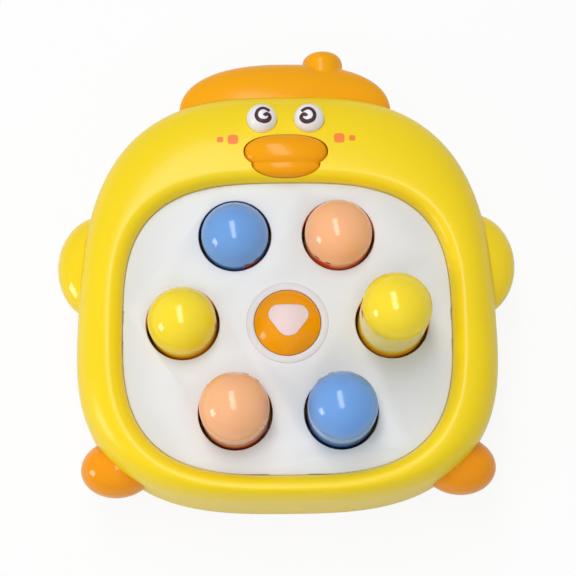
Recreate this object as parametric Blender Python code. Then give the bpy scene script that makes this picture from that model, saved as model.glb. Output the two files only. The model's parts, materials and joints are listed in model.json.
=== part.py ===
# Duck-shaped pop-up mole game for toddlers, lying on its back, face up.
# Metres, +Z up, +Y towards the hat. The origin is the middle of the resting face.
# Inside, one toy empty carries everything: its own origin is the middle of the
# ring of moles, on the white deck's top face.

import math

import bmesh
import bpy
from mathutils import Matrix, Vector

# Shared clearances
GAP = 0.0003
OVERRUN = 0.003
SINK = 0.001
WALL = 0.0022

# Ring of moles, with the room between the button's ring and a mole's collar
BUTTON_TO_MOLE_ROOM = 0.0126
MOLE_RADIUS = 0.0188
MOLE_DOME_HEIGHT = 0.0142
MOLE_CLEARANCE = 0.0013
MOLE_WALL = 0.0022
MOLE_FLANGE = 0.0024
MOLE_FLANGE_HEIGHT = 0.002
PRESS_TRAVEL = 0.006

# Height of each dome's foot over the deck, as the game stands at rest. The right
# mole is all the way up, short of its stop by the play alone.
HIGHEST_MOLE_PLAY = 0.0014
RISE_TOP_RIGHT = 0.0055
RISE_TOP_LEFT = 0.0026
RISE_LEFT = 0.0094
RISE_BOTTOM_LEFT = 0.0216
RISE_BOTTOM_RIGHT = 0.0216

# Deck, the white panel, with its margins round the moles' holes
DECK_SIDE_MARGIN = 0.0126
DECK_TOP_MARGIN = 0.00924
DECK_BOTTOM_MARGIN = 0.01224
DECK_CORNER_POWER = 3.1
DECK_THICKNESS = 0.0024
DECK_RIM_WIDTH = 0.0024
DECK_FLANGE_WIDTH = 0.0018
DECK_FLANGE_THICKNESS = 0.0021
DECK_EDGE_ROUND = 0.0006
COLLAR_WALL = 0.0018
COLLAR_DEPTH = 0.006
CLIP_SLOT_DEPTH = 0.0009
BOTTOM_CLIP_LENGTH = 0.0128
BOTTOM_CLIP_SPREAD = 0.0172
SIDE_CLIP_LENGTH = 0.0066
SIDE_CLIP_SPREAD = 0.0085
SIDE_CLIP_MIDDLE = 0.0045

# Body shells, with the bezel's widths round the deck
BEZEL_SIDE_WIDTH = 0.0268
BEZEL_BROW_WIDTH = 0.0573
BEZEL_CHIN_WIDTH = 0.0168
BODY_CORNER_POWER = 2.9
BODY_WIDENING_SHARE = 0.023
PARTING_DEPTH = 0.036
REAR_SHELL_HEIGHT = 0.036
SHOULDER_DEPTH = 0.014
CROWN_HEIGHT = 0.0085
RIDGE_WIDTH = 0.0075
BEZEL_LIP_DEPTH = 0.0025
BEZEL_LIP_WALL = 0.0016
BEZEL_DRAFT = 0.001
REAR_DRAFT = 0.0015
REAR_EDGE_RADIUS = 0.006
REAR_FLOOR = 0.0024

# Hat and its knob
HAT_HALF_WIDTH = 0.061
HAT_OVERLAP = 0.008
HAT_LENGTH = 0.022
HAT_CORNER_POWER = 2.4
HAT_RIM_DEPTH = 0.023
HAT_DOME_HEIGHT = 0.016
HAT_BEHIND_PARTING = 0.014
HAT_BACK_ROUND = 0.004
KNOB_OFFSET = 0.0226
KNOB_HALF_WIDTH = 0.0122
KNOB_HALF_DEPTH = 0.012
KNOB_UNDER_RIM = 0.002
KNOB_LENGTH = 0.0086
KNOB_ROUND = 0.0085
KNOB_ROOT = 0.018
KNOB_CORNER_POWER = 2.4

# Wings
WING_SUNK = 0.012
WING_CENTRE_Y = 0.0376
WING_HALF_WIDTH = 0.0243
WING_HALF_LENGTH = 0.030
WING_HALF_DEPTH = 0.016
WING_OVER_PARTING = 0.012

# Feet
FOOT_SUNK_SIDE = 0.0235
FOOT_SUNK_END = 0.0232
FOOT_HALF_WIDTH = 0.0207
FOOT_HALF_LENGTH = 0.0162
FOOT_HALF_DEPTH = 0.016
FOOT_OVER_PARTING = 0.011
FOOT_TURN = math.radians(7)

# Tabs that clamp hat, wings and feet between the shells
TAB_THICKNESS = 0.006
TAB_INSIDE = 0.004
HAT_TAB_WIDTH = 0.040
WING_TAB_WIDTH = 0.024
FOOT_TAB_WIDTH = 0.016

# Eyes
EYE_OFFSET = 0.0132
EYE_OVER_BEAK = 0.0214
EYE_RADIUS = 0.0085
EYE_HEIGHT = 0.0068
EYE_LEAN_SHARE = 0.5
EYE_SKIRT = 0.0022
EYE_BOSS_DEPTH = 0.0068
EYE_PEG_RADIUS = 0.0028
EYE_PEG_LENGTH = 0.003

# Beak key
BEAK_OVER_SEAM = 0.0169
BEAK_UPPER_HALF_WIDTH = 0.0231
BEAK_UPPER_HALF_LENGTH = 0.0100
BEAK_UPPER_HEIGHT = 0.0085
BEAK_LOBE_STEP = 0.0071
BEAK_LOWER_HALF_WIDTH = 0.0188
BEAK_LOWER_HALF_LENGTH = 0.0072
BEAK_LOWER_HEIGHT = 0.0058
BEAK_CORNER_POWER = 2.3
BEAK_WAIST_HEIGHT = 0.0055
BEAK_SKIRT_DEPTH = 0.0030
BEAK_CLEARANCE = 0.0004
BEAK_STEM_RADIUS = 0.004
BEAK_STEM_DEPTH = 0.010

# Centre button
BUTTON_RADIUS = 0.0191
BUTTON_CLEARANCE = 0.0004
BUTTON_TOP_HEIGHT = 0.0062
BUTTON_EDGE_HEIGHT = 0.0016
BUTTON_WALL = 0.0018
BUTTON_SKIRT_DEPTH = 0.0085
BUTTON_FLANGE = 0.0016
BUTTON_FLANGE_HEIGHT = 0.0015
BUTTON_STEM_RADIUS = 0.005
RING_WIDTH = 0.0030
RING_HEIGHT = 0.0012
BUTTON_COLLAR_DEPTH = 0.0062
ICON_HALF_WIDTH = 0.0112
ICON_BOTTOM_REACH = 0.0085
ICON_TOP_REACH = 0.0095
ICON_CORNER_RADIUS = 0.0040
ICON_FLOOR_HEIGHT = 0.0030

# Contact domes and boards
DOME_FOOT_RADIUS = 0.0075
DOME_TOP_RADIUS = 0.0038
BOARD_THICKNESS = 0.0016
MAIN_BOARD_ROOM = 0.0058
MAIN_BOARD_DEPTH = 0.0155
BOARD_POST_RADIUS = 0.0025
BOARD_POST_INSET = 0.0035
BOARD_POSTS = 3
BOARD_POST_START = math.radians(30)
BEAK_BOARD_WIDTH = 0.060
BEAK_BOARD_LENGTH = 0.018
BEAK_BOARD_DEPTH = 0.017
BEAK_POST_INSET = 0.003

# Lifters inside the moles. The lowest one's nose stands over the body's back.
LOWEST_NOSE_HEIGHT = 0.018
NOSE_UNDER_SKIRT = 0.010
LIFTER_NOSE_RADIUS = 0.0022
LIFTER_STEM_RADIUS = 0.0042
LIFTER_NOSE_HEIGHT = 0.003
PISTON_UNDER_FOOT = 0.0156
LIFTER_PISTON_THICKNESS = 0.003
LIFTER_CONE_HEIGHT = 0.006
LIFTER_CLEARANCE = 0.0005

# Mole springs
SPRING_RADIUS = 0.0072
SPRING_WIRE_RADIUS = 0.0006
SPRING_TURNS = 3
SPRING_POINTS_PER_TURN = 8

# Track wheel
TRACK_WIDTH = 0.006
TRACK_DWELL = math.radians(15)
WHEEL_SWING = math.radians(3)
TRACK_STEPS_PER_MOLE = 8
WHEEL_RUNNING_GAP = 0.0008
WHEEL_WEB = 0.0025
WHEEL_GEAR_THICKNESS = 0.0053
WHEEL_GEAR_RIM = 0.0030
WHEEL_HUB_RADIUS = 0.010
WHEEL_HUB_HEIGHT = 0.008
WHEEL_SPOKE_WIDTH = 0.008
WHEEL_SPOKES = 4
SPINDLE_RADIUS = 0.004
SPINDLE_CLEARANCE = 0.0004
NOTCH_CLEARANCE = 0.001

# Gears
WHEEL_TEETH = 54
WHEEL_RIM_WIDTH = 0.006
PINION_TEETH = 9
LARGE_GEAR_TEETH = 24
LARGE_GEAR_PITCH_RADIUS = 0.014
MOTOR_PINION_TEETH = 8
GEAR_FACE = 0.0048
LARGE_GEAR_THICKNESS = 0.003
GEAR_STEP_GAP = 0.0006
GEAR_ADDENDUM_SHARE = 0.80
GEAR_DEDENDUM_SHARE = 1.05
GEAR_TOOTH_SHARE = 0.40
GEAR_FLANK_ANGLE = math.radians(20)
AXLE_RADIUS = 0.0015
MOTOR_DIRECTION = math.radians(-13)

# Motor and its plate
MOTOR_RADIUS = 0.010
MOTOR_FLAT_HALF_WIDTH = 0.0075
MOTOR_LENGTH = 0.025
MOTOR_SHAFT_RADIUS = 0.001
PLATE_THICKNESS = 0.002
PLATE_LEFT = 0.026
PLATE_PAST_MOTOR = 0.0198
PLATE_PAST_WHEEL = 0.0045
PLATE_LENGTH = 0.021
PLATE_POST_RADIUS = 0.003
PLATE_POST_INSET = 0.005

# Speaker
SPEAKER_FROM_BAY = 0.03075
SPEAKER_DROP = 0.015
SPEAKER_RADIUS = 0.014
SPEAKER_HEIGHT = 0.006
SPEAKER_RIM = 0.002
SPEAKER_CONE_DEPTH = 0.003
SPEAKER_MAGNET_RADIUS = 0.008
SPEAKER_MAGNET_HEIGHT = 0.004
GRILLE_SLOTS = 5
GRILLE_SLOT_WIDTH = 0.0018
GRILLE_PITCH = 0.004

# Power switch
SWITCH_FROM_BAY = 0.02675
SWITCH_DROP = 0.015
SWITCH_KNOB_LENGTH = 0.004
SWITCH_KNOB_WIDTH = 0.0034
SWITCH_TRAVEL = 0.003
SWITCH_PLATE_LENGTH = 0.013
SWITCH_PLATE_WIDTH = 0.008
SWITCH_PLATE_THICKNESS = 0.0015
SWITCH_KNOB_RECESS = 0.0006
SWITCH_BODY_LENGTH = 0.018
SWITCH_BODY_WIDTH = 0.009
SWITCH_BODY_HEIGHT = 0.005

# Battery bay
CELL_RADIUS = 0.00525
CELL_LENGTH = 0.0445
CELL_TIP_RADIUS = 0.0019
CELL_TIP_LENGTH = 0.001
CELL_COUNT = 3
BAY_END_ROOM = 0.0025
BAY_CLEARANCE = 0.0005
BAY_LEDGE = 0.0012
BAY_DROP = 0.0075
CONTACT_HEIGHT = 0.008
DOOR_THICKNESS = 0.0018
DOOR_EAR_LENGTH = 0.010
DOOR_EAR_WIDTH = 0.012
DOOR_BLOCK_HEIGHT = 0.009

# Screws
SCREW_TOP_INSET = 0.041
SCREW_TOP_DROP = 0.0265
SCREW_BOTTOM_INSET = 0.0365
SCREW_BOTTOM_RISE = 0.0275
SCREW_BOSS_RADIUS = 0.0045
SCREW_POST_RADIUS = 0.0042
SCREW_HEAD_RADIUS = 0.0027
SCREW_HEAD_HEIGHT = 0.0016
SCREW_SHANK_RADIUS = 0.0013
SCREW_LENGTH = 0.022
SCREW_SEAT_DEPTH = 0.012
SCREW_HOLE_CLEARANCE = 0.0003
DOOR_SCREW_LENGTH = 0.007

# How finely the forms are faceted
BODY_STEPS = 48
ROUND_STEPS = 20
FINE_STEPS = 28
SMALL_STEPS = 12
TINY_STEPS = 8
ICON_CORNER_STEPS = 3
WINDOW_STEPS = 6
BEZEL_INNER_STEPS = 3
BEZEL_OUTER_STEPS = 6
MOLE_DOME_STEPS = 5
MOLE_INNER_STEPS = 3
BUTTON_DOME_STEPS = 4
EYE_DOME_STEPS = 4
SMOOTH_LIMIT = math.radians(35)

# Heights that follow from the body's depth
BODY_DEPTH = PARTING_DEPTH + REAR_SHELL_HEIGHT
LOWEST_RISE = min(RISE_TOP_RIGHT, RISE_TOP_LEFT, RISE_LEFT)
LIFTER_HEIGHT = BODY_DEPTH + LOWEST_RISE - LOWEST_NOSE_HEIGHT
LIFTER_PISTON_HEIGHT = LIFTER_HEIGHT - PISTON_UNDER_FOOT
MOLE_SKIRT = LIFTER_HEIGHT - NOSE_UNDER_SKIRT
RISE_RIGHT = MOLE_SKIRT - MOLE_FLANGE_HEIGHT - COLLAR_DEPTH - HIGHEST_MOLE_PLAY
HAT_BACK_DEPTH = PARTING_DEPTH + HAT_BEHIND_PARTING
KNOB_DEPTH = HAT_RIM_DEPTH + KNOB_UNDER_RIM
WING_DEPTH = PARTING_DEPTH - WING_OVER_PARTING
FOOT_DEPTH = PARTING_DEPTH - FOOT_OVER_PARTING
SCREW_HEAD_DEPTH = PARTING_DEPTH + SCREW_SEAT_DEPTH

# Outlines that follow from the ring of moles
HOLE_RADIUS = MOLE_RADIUS + MOLE_CLEARANCE
BUTTON_RING_RADIUS = BUTTON_RADIUS + BUTTON_CLEARANCE + RING_WIDTH
MOLE_RING_RADIUS = BUTTON_RING_RADIUS + BUTTON_TO_MOLE_ROOM + COLLAR_WALL + HOLE_RADIUS
HOLE_ROW_Y = MOLE_RING_RADIUS * math.sin(math.radians(60))
DECK_HALF_WIDTH = MOLE_RING_RADIUS + HOLE_RADIUS + DECK_SIDE_MARGIN
DECK_TOP_REACH = HOLE_ROW_Y + HOLE_RADIUS + DECK_TOP_MARGIN
DECK_BOTTOM_REACH = HOLE_ROW_Y + HOLE_RADIUS + DECK_BOTTOM_MARGIN
BODY_HALF_WIDTH = DECK_HALF_WIDTH + BEZEL_SIDE_WIDTH
BODY_TOP_REACH = DECK_TOP_REACH + BEZEL_BROW_WIDTH
BODY_BOTTOM_REACH = DECK_BOTTOM_REACH + BEZEL_CHIN_WIDTH
HAT_MIDDLE = BODY_TOP_REACH - HAT_OVERLAP
HAT_TOP_REACH = BODY_TOP_REACH + HAT_LENGTH
KNOB_REACH = HAT_TOP_REACH + KNOB_LENGTH
WING_CENTRE_X = BODY_HALF_WIDTH - WING_SUNK
FOOT_CENTRE_X = BODY_HALF_WIDTH - FOOT_SUNK_SIDE
FOOT_CENTRE_Y = BODY_BOTTOM_REACH - FOOT_SUNK_END
BEAK_UPPER_Y = DECK_TOP_REACH + BEAK_OVER_SEAM
BEAK_LOWER_Y = BEAK_UPPER_Y - BEAK_LOBE_STEP
EYE_CENTRE_Y = BEAK_UPPER_Y + EYE_OVER_BEAK
MAIN_BOARD_RADIUS = MOLE_RING_RADIUS - MOLE_RADIUS - MOLE_FLANGE - MAIN_BOARD_ROOM
BOARD_POST_RING = MAIN_BOARD_RADIUS - BOARD_POST_INSET
BEAK_POST_SPREAD = BEAK_BOARD_WIDTH / 2 - BEAK_POST_INSET

# Levels and places of the drive that follow from the rear shell's floor
FLOOR_TOP = REAR_FLOOR - BODY_DEPTH
WHEEL_BOTTOM = FLOOR_TOP + WHEEL_RUNNING_GAP
WEB_TOP = WHEEL_BOTTOM + WHEEL_WEB
WHEEL_GEAR_TOP = WEB_TOP + WHEEL_GEAR_THICKNESS
WHEEL_PITCH_RADIUS = MOLE_RING_RADIUS + TRACK_WIDTH / 2 + WHEEL_RIM_WIDTH
PINION_PITCH_RADIUS = WHEEL_PITCH_RADIUS * PINION_TEETH / WHEEL_TEETH
MOTOR_PINION_PITCH_RADIUS = LARGE_GEAR_PITCH_RADIUS * MOTOR_PINION_TEETH / LARGE_GEAR_TEETH
AXLE_Y = -(WHEEL_PITCH_RADIUS + PINION_PITCH_RADIUS)
MOTOR_DISTANCE = LARGE_GEAR_PITCH_RADIUS + MOTOR_PINION_PITCH_RADIUS
MOTOR_X = MOTOR_DISTANCE * math.cos(MOTOR_DIRECTION)
MOTOR_Y = AXLE_Y + MOTOR_DISTANCE * math.sin(MOTOR_DIRECTION)
LARGE_GEAR_BOTTOM = WHEEL_GEAR_TOP + GEAR_STEP_GAP
LARGE_GEAR_TOP = LARGE_GEAR_BOTTOM + LARGE_GEAR_THICKNESS
PLATE_BOTTOM = LARGE_GEAR_TOP + GEAR_STEP_GAP
PLATE_TOP = PLATE_BOTTOM + PLATE_THICKNESS
PLATE_RIGHT = MOTOR_X + PLATE_PAST_MOTOR
PLATE_NEAR = WHEEL_PITCH_RADIUS + PLATE_PAST_WHEEL
PLATE_FAR = PLATE_NEAR + PLATE_LENGTH

# Places behind the brow, between the wheel and the top of the body
BROW_MIDDLE = (WHEEL_PITCH_RADIUS + BODY_TOP_REACH) / 2
BAY_CENTRE_Y = BROW_MIDDLE - BAY_DROP
BAY_HALF_LENGTH = CELL_LENGTH / 2 + CELL_TIP_LENGTH / 2 + BAY_END_ROOM
BAY_HALF_WIDTH = CELL_COUNT * (CELL_RADIUS + GAP) + BAY_CLEARANCE
DOOR_TOP = DOOR_THICKNESS - BODY_DEPTH
LEDGE_HEIGHT = DOOR_TOP + GAP
CELL_AXIS = DOOR_TOP + BAY_CLEARANCE + CELL_RADIUS
BAY_CEILING = CELL_AXIS + CELL_RADIUS + BAY_CLEARANCE
SPEAKER_X = BAY_HALF_LENGTH + SPEAKER_FROM_BAY
SPEAKER_Y = BROW_MIDDLE - SPEAKER_DROP
SWITCH_X = -BAY_HALF_LENGTH - SWITCH_FROM_BAY
SWITCH_Y = BROW_MIDDLE - SWITCH_DROP
SCREW_TOP_X = BODY_HALF_WIDTH - SCREW_TOP_INSET
SCREW_TOP_Y = BROW_MIDDLE - SCREW_TOP_DROP
SCREW_BOTTOM_X = BODY_HALF_WIDTH - SCREW_BOTTOM_INSET
SCREW_BOTTOM_Y = BODY_BOTTOM_REACH - SCREW_BOTTOM_RISE
TOY_Y = -(KNOB_REACH - BODY_BOTTOM_REACH) / 2

# Name, direction round the ring, rise at rest and colour of each mole
MOLES = [
    ("right", 0, RISE_RIGHT, "yellow"),
    ("top_right", 60, RISE_TOP_RIGHT, "peach"),
    ("top_left", 120, RISE_TOP_LEFT, "blue"),
    ("left", 180, RISE_LEFT, "yellow"),
    ("bottom_left", 240, RISE_BOTTOM_LEFT, "peach"),
    ("bottom_right", 300, RISE_BOTTOM_RIGHT, "blue"),
]

# Colour, roughness and metallic value of each material
FINISHES = {
    "body_yellow": ((0.90, 0.66, 0.05), 0.35, 0),
    "trim_orange": ((0.93, 0.36, 0.01), 0.22, 0),
    "button_orange": ((0.90, 0.32, 0.01), 0.18, 0),
    "panel_white": ((0.84, 0.84, 0.86), 0.40, 0),
    "icon_pink": ((0.80, 0.66, 0.66), 0.30, 0),
    "eye_white": ((0.85, 0.84, 0.82), 0.25, 0),
    "yellow": ((0.88, 0.64, 0.07), 0.12, 0),
    "peach": ((0.86, 0.45, 0.25), 0.12, 0),
    "blue": ((0.16, 0.38, 0.72), 0.12, 0),
    "lifter_white": ((0.80, 0.80, 0.78), 0.45, 0),
    "gear_nylon": ((0.86, 0.85, 0.80), 0.40, 0),
    "spring_steel": ((0.55, 0.56, 0.58), 0.25, 1),
    "steel": ((0.60, 0.60, 0.62), 0.30, 1),
    "board_green": ((0.02, 0.22, 0.08), 0.40, 0),
    "silicone_grey": ((0.55, 0.56, 0.58), 0.60, 0),
    "black_plastic": ((0.03, 0.03, 0.03), 0.45, 0),
    "speaker_black": ((0.05, 0.05, 0.05), 0.70, 0),
    "cell_wrap": ((0.10, 0.12, 0.15), 0.35, 0),
}


# Clears whatever the open file holds
def clear_scene():
    for old in list(bpy.data.objects):
        bpy.data.objects.remove(old, do_unlink=True)


# One shader for each finish
def make_materials():
    made = {}
    for name, (colour, roughness, metallic) in FINISHES.items():
        material = bpy.data.materials.new(name)
        material.use_nodes = True
        shader = material.node_tree.nodes["Principled BSDF"]
        shader.inputs["Base Color"].default_value = (*colour, 1)
        shader.inputs["Roughness"].default_value = roughness
        shader.inputs["Metallic"].default_value = metallic
        material.diffuse_color = (*colour, 1)
        made[name] = material
    return made


# Turns a bmesh into a named object under a parent
def finish(bm, name, material=None, parent=None, place=(0, 0, 0), turn=(0, 0, 0)):
    bmesh.ops.recalc_face_normals(bm, faces=bm.faces)
    mesh = bpy.data.meshes.new(name)
    bm.to_mesh(mesh)
    bm.free()
    mesh.shade_smooth()
    mesh.set_sharp_from_angle(angle=SMOOTH_LIMIT)
    shape = bpy.data.objects.new(name, mesh)
    bpy.context.scene.collection.objects.link(shape)
    if material:
        mesh.materials.append(MATERIALS[material])
    shape.parent = parent or TOY
    shape.location = place
    shape.rotation_euler = turn
    return shape


# Hides a shape that only cuts or adds to others
def helper(shape):
    shape.hide_render = True
    shape.display_type = "WIRE"
    return shape


def combine(target, other, operation):
    step = target.modifiers.new(operation.lower(), "BOOLEAN")
    step.operation = operation
    step.solver = "EXACT"
    step.object = other


def cut(target, *tools):
    for tool in tools:
        combine(target, helper(tool), "DIFFERENCE")


def add(target, *tools):
    for tool in tools:
        combine(target, helper(tool), "UNION")


# Skin through closed loops of equal count, capped at both ends
def loft(loops):
    bm = bmesh.new()
    rows = [[bm.verts.new(point) for point in loop] for loop in loops]
    count = len(rows[0])
    for low, high in zip(rows, rows[1:]):
        for i in range(count):
            j = (i + 1) % count
            bm.faces.new((low[i], low[j], high[j], high[i]))
    bm.faces.new(rows[0][::-1])
    bm.faces.new(rows[-1])
    return bm


# Skin through closed sections that follow each other round a full circle
def loft_round(sections):
    bm = bmesh.new()
    rows = [[bm.verts.new(point) for point in section] for section in sections]
    count = len(rows[0])
    for k, near in enumerate(rows):
        far = rows[(k + 1) % len(rows)]
        for i in range(count):
            j = (i + 1) % count
            bm.faces.new((near[i], near[j], far[j], far[i]))
    return bm


# Turns a profile of (radius, height) pairs round Z. A profile that leaves the
# axis at both ends is closed on itself.
def turned(profile, steps=ROUND_STEPS):
    bm = bmesh.new()
    verts = [bm.verts.new((radius, 0, height)) for radius, height in profile]
    edges = [bm.edges.new(pair) for pair in zip(verts, verts[1:])]
    if profile[0][0] > 0:
        edges.append(bm.edges.new((verts[-1], verts[0])))
    bmesh.ops.spin(
        bm, geom=verts + edges, axis=(0, 0, 1), cent=(0, 0, 0),
        angle=math.tau, steps=steps, use_merge=True,
    )
    bmesh.ops.remove_doubles(bm, verts=bm.verts, dist=GAP / 100)
    return bm


# A flat outline raised from one height to another
def prism(outline, low, high):
    return loft([[(x, y, low) for x, y in outline], [(x, y, high) for x, y in outline]])


def box(low, high):
    outline = [(low[0], low[1]), (high[0], low[1]), (high[0], high[1]), (low[0], high[1])]
    return prism(outline, low[2], high[2])


def circle(radius, steps=ROUND_STEPS, centre=(0, 0), start=0):
    points = []
    for k in range(steps):
        angle = start + math.tau * k / steps
        points.append((centre[0] + radius * math.cos(angle), centre[1] + radius * math.sin(angle)))
    return points


# Distance from the middle to a superellipse's edge, in one direction
def superellipse(angle, half_width, top, bottom, power):
    reach = top if math.sin(angle) >= 0 else bottom
    across = abs(math.cos(angle) / half_width) ** power
    along = abs(math.sin(angle) / reach) ** power
    return (across + along) ** (-1 / power)


# The same kind of outline, with its points spread evenly along it
def squircle(half_width, half_length, power, steps):
    points = []
    for k in range(steps):
        cosine = math.cos(math.tau * k / steps)
        sine = math.sin(math.tau * k / steps)
        x = math.copysign(abs(cosine) ** (2 / power), cosine) * half_width
        y = math.copysign(abs(sine) ** (2 / power), sine) * half_length
        points.append((x, y))
    return points


def deck_edge(angle, grow=0):
    return superellipse(
        angle, DECK_HALF_WIDTH + grow, DECK_TOP_REACH + grow, DECK_BOTTOM_REACH + grow, DECK_CORNER_POWER
    )


def body_edge(angle, inset=0):
    half_width = BODY_HALF_WIDTH * (1 - BODY_WIDENING_SHARE * math.sin(angle)) - inset
    return superellipse(
        angle, half_width, BODY_TOP_REACH - inset, BODY_BOTTOM_REACH - inset, BODY_CORNER_POWER
    )


def polar_loop(edge, height, steps=BODY_STEPS):
    loop = []
    for k in range(steps):
        angle = math.tau * k / steps
        reach = edge(angle)
        loop.append((reach * math.cos(angle), reach * math.sin(angle), height))
    return loop


# Outer half of the bezel's section, from the seam over the ridge to the parting line,
# as distances from the seam and heights, with the wall's thickness taken off
def bezel_arc(length, wall, steps):
    points = []
    for k in range(steps + 1):
        lean = math.pi / 2 * k / steps
        reach = RIDGE_WIDTH + (length - RIDGE_WIDTH - BEZEL_DRAFT - wall) * math.sin(lean)
        height = (CROWN_HEIGHT - wall + SHOULDER_DEPTH) * math.cos(lean) - SHOULDER_DEPTH
        points.append((reach, height))
    return points


# Inner slope of the bezel's section, from the seam up to the ridge
def bezel_slope(wall, steps):
    points = []
    for k in range(steps):
        lean = math.pi / 2 * (1 - k / steps)
        reach = RIDGE_WIDTH - (RIDGE_WIDTH - wall) * math.sin(lean)
        points.append((reach, (CROWN_HEIGHT - wall) * math.cos(lean)))
    return points


# Height and lean of the bezel's outer face over a place on it
def bezel_face(x, y):
    angle = math.atan2(y, x)
    length = body_edge(angle) - deck_edge(angle)
    run = length - RIDGE_WIDTH - BEZEL_DRAFT
    rise = CROWN_HEIGHT + SHOULDER_DEPTH
    sine = (math.hypot(x, y) - deck_edge(angle) - RIDGE_WIDTH) / run
    cosine = math.sqrt(1 - sine * sine)
    return rise * cosine - SHOULDER_DEPTH, math.atan2(sine / run, cosine / rise)


# How high a post may rise into the bezel's wall without coming through it
def ceiling_over(x, y, radius):
    heights = []
    for place in circle(radius, TINY_STEPS, centre=(x, y)):
        heights.append(bezel_face(*place)[0])
    return min(heights) - SINK


def bezel_section(angle):
    seam = deck_edge(angle)
    length = body_edge(angle) - seam
    outer = [(0, -BEZEL_LIP_DEPTH)] + bezel_slope(0, BEZEL_INNER_STEPS)
    outer += bezel_arc(length, 0, BEZEL_OUTER_STEPS)
    outer.append((length, -PARTING_DEPTH))
    inner = [(BEZEL_LIP_WALL, -BEZEL_LIP_DEPTH)] + bezel_slope(WALL, 1)
    inner += bezel_arc(length, WALL, BEZEL_OUTER_STEPS // 2)
    inner.append((length - WALL, -PARTING_DEPTH))
    points = []
    for reach, height in outer + inner[::-1]:
        radius = seam + reach
        points.append((radius * math.cos(angle), radius * math.sin(angle), height))
    return points


# The body's outside as one solid, a gap larger, to trim what stands against it
def body_envelope():
    run = []
    for k in range(BEZEL_OUTER_STEPS + 1):
        lean = math.pi / 2 * k / BEZEL_OUTER_STEPS
        run.append((math.sin(lean), math.cos(lean)))
    loops = []
    for sine, cosine in run:
        height = (CROWN_HEIGHT + SHOULDER_DEPTH + GAP) * cosine - SHOULDER_DEPTH

        def edge(angle, sine=sine):
            start = deck_edge(angle) + RIDGE_WIDTH
            return start + (body_edge(angle, -GAP) - BEZEL_DRAFT - start) * sine

        loops.append(polar_loop(edge, height))
    loops.append(polar_loop(lambda angle: body_edge(angle, -GAP), -PARTING_DEPTH))
    loops.append(polar_loop(lambda angle: body_edge(angle, -GAP), -PARTING_DEPTH - OVERRUN))
    loops.append(polar_loop(lambda angle: body_edge(angle, REAR_DRAFT - GAP), -BODY_DEPTH))
    return helper(finish(loft(loops), "body_envelope"))


# A tab that crosses the body's wall at the parting line, and the notch for it
def tab_shape(name, centre, direction, width, grow):
    away = Vector((math.cos(direction), math.sin(direction), 0))
    reach = body_edge(math.atan2(centre[1], centre[0]))
    near = reach - BEZEL_DRAFT - WALL - TAB_INSIDE - grow
    far = reach + TAB_INSIDE + grow
    half = width / 2 + grow
    start = math.hypot(*centre)
    low = (near - start, -half, -PARTING_DEPTH - (OVERRUN if grow else 0))
    high = (far - start, half, -PARTING_DEPTH + TAB_THICKNESS + grow)
    bm = box(low, high)
    shape = finish(bm, name, place=(away.x * start, away.y * start, 0), turn=(0, 0, direction))
    return helper(shape)


def make_front_bezel():
    sections = [bezel_section(math.tau * k / BODY_STEPS) for k in range(BODY_STEPS)]
    bezel = finish(loft_round(sections), "front_bezel", "body_yellow")
    for name, x, y in screw_places():
        top = ceiling_over(x, y, SCREW_POST_RADIUS)
        post = prism(circle(SCREW_POST_RADIUS, TINY_STEPS), -PARTING_DEPTH, top)
        add(bezel, finish(post, name + "_post", place=(x, y, 0)))
        bore_top = -SCREW_HEAD_DEPTH + SCREW_LENGTH + OVERRUN
        radius = SCREW_SHANK_RADIUS + SCREW_HOLE_CLEARANCE
        bore = prism(circle(radius, TINY_STEPS), -PARTING_DEPTH - OVERRUN, bore_top)
        cut(bezel, finish(bore, name + "_bore", place=(x, y, 0)))
    hole_top = CROWN_HEIGHT + OVERRUN
    cut(bezel, beak_prism("beak_hole", BEAK_CLEARANCE, -BEZEL_LIP_DEPTH - OVERRUN, hole_top))
    for side in (-1, 1):
        place = (side * BEAK_POST_SPREAD, BEAK_UPPER_Y, 0)
        top = ceiling_over(place[0], place[1], BOARD_POST_RADIUS)
        post = prism(circle(BOARD_POST_RADIUS, TINY_STEPS), GAP - BEAK_BOARD_DEPTH, top)
        add(bezel, finish(post, "beak_post_%d" % side, place=place))
        seat_eye(bezel, side)


# Name and place of each of the four screws that join the shells
def screw_places():
    return [
        ("case_screw_top_left", -SCREW_TOP_X, SCREW_TOP_Y),
        ("case_screw_top_right", SCREW_TOP_X, SCREW_TOP_Y),
        ("case_screw_bottom_left", -SCREW_BOTTOM_X, -SCREW_BOTTOM_Y),
        ("case_screw_bottom_right", SCREW_BOTTOM_X, -SCREW_BOTTOM_Y),
    ]


def make_rear_shell():
    top = -PARTING_DEPTH - GAP
    turn_height = REAR_EDGE_RADIUS - BODY_DEPTH
    middle = REAR_EDGE_RADIUS * (1 - math.cos(math.pi / 4))
    outer = [
        (0, top),
        (REAR_DRAFT, turn_height),
        (REAR_DRAFT + middle, middle - BODY_DEPTH),
        (REAR_DRAFT + REAR_EDGE_RADIUS, -BODY_DEPTH),
    ]
    inner = [
        (REAR_DRAFT + REAR_EDGE_RADIUS, FLOOR_TOP),
        (REAR_DRAFT + WALL, turn_height),
        (WALL, top),
    ]
    loops = []
    for inset, height in inner + outer:
        loops.append(polar_loop(lambda angle, inset=inset: body_edge(angle, inset), height))
    shell = finish(loft(loops), "rear_shell", "body_yellow")
    add_rear_bosses(shell)
    add_battery_bay(shell)
    cut_speaker_grille(shell)
    cut_switch_slot(shell)
    return shell


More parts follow.
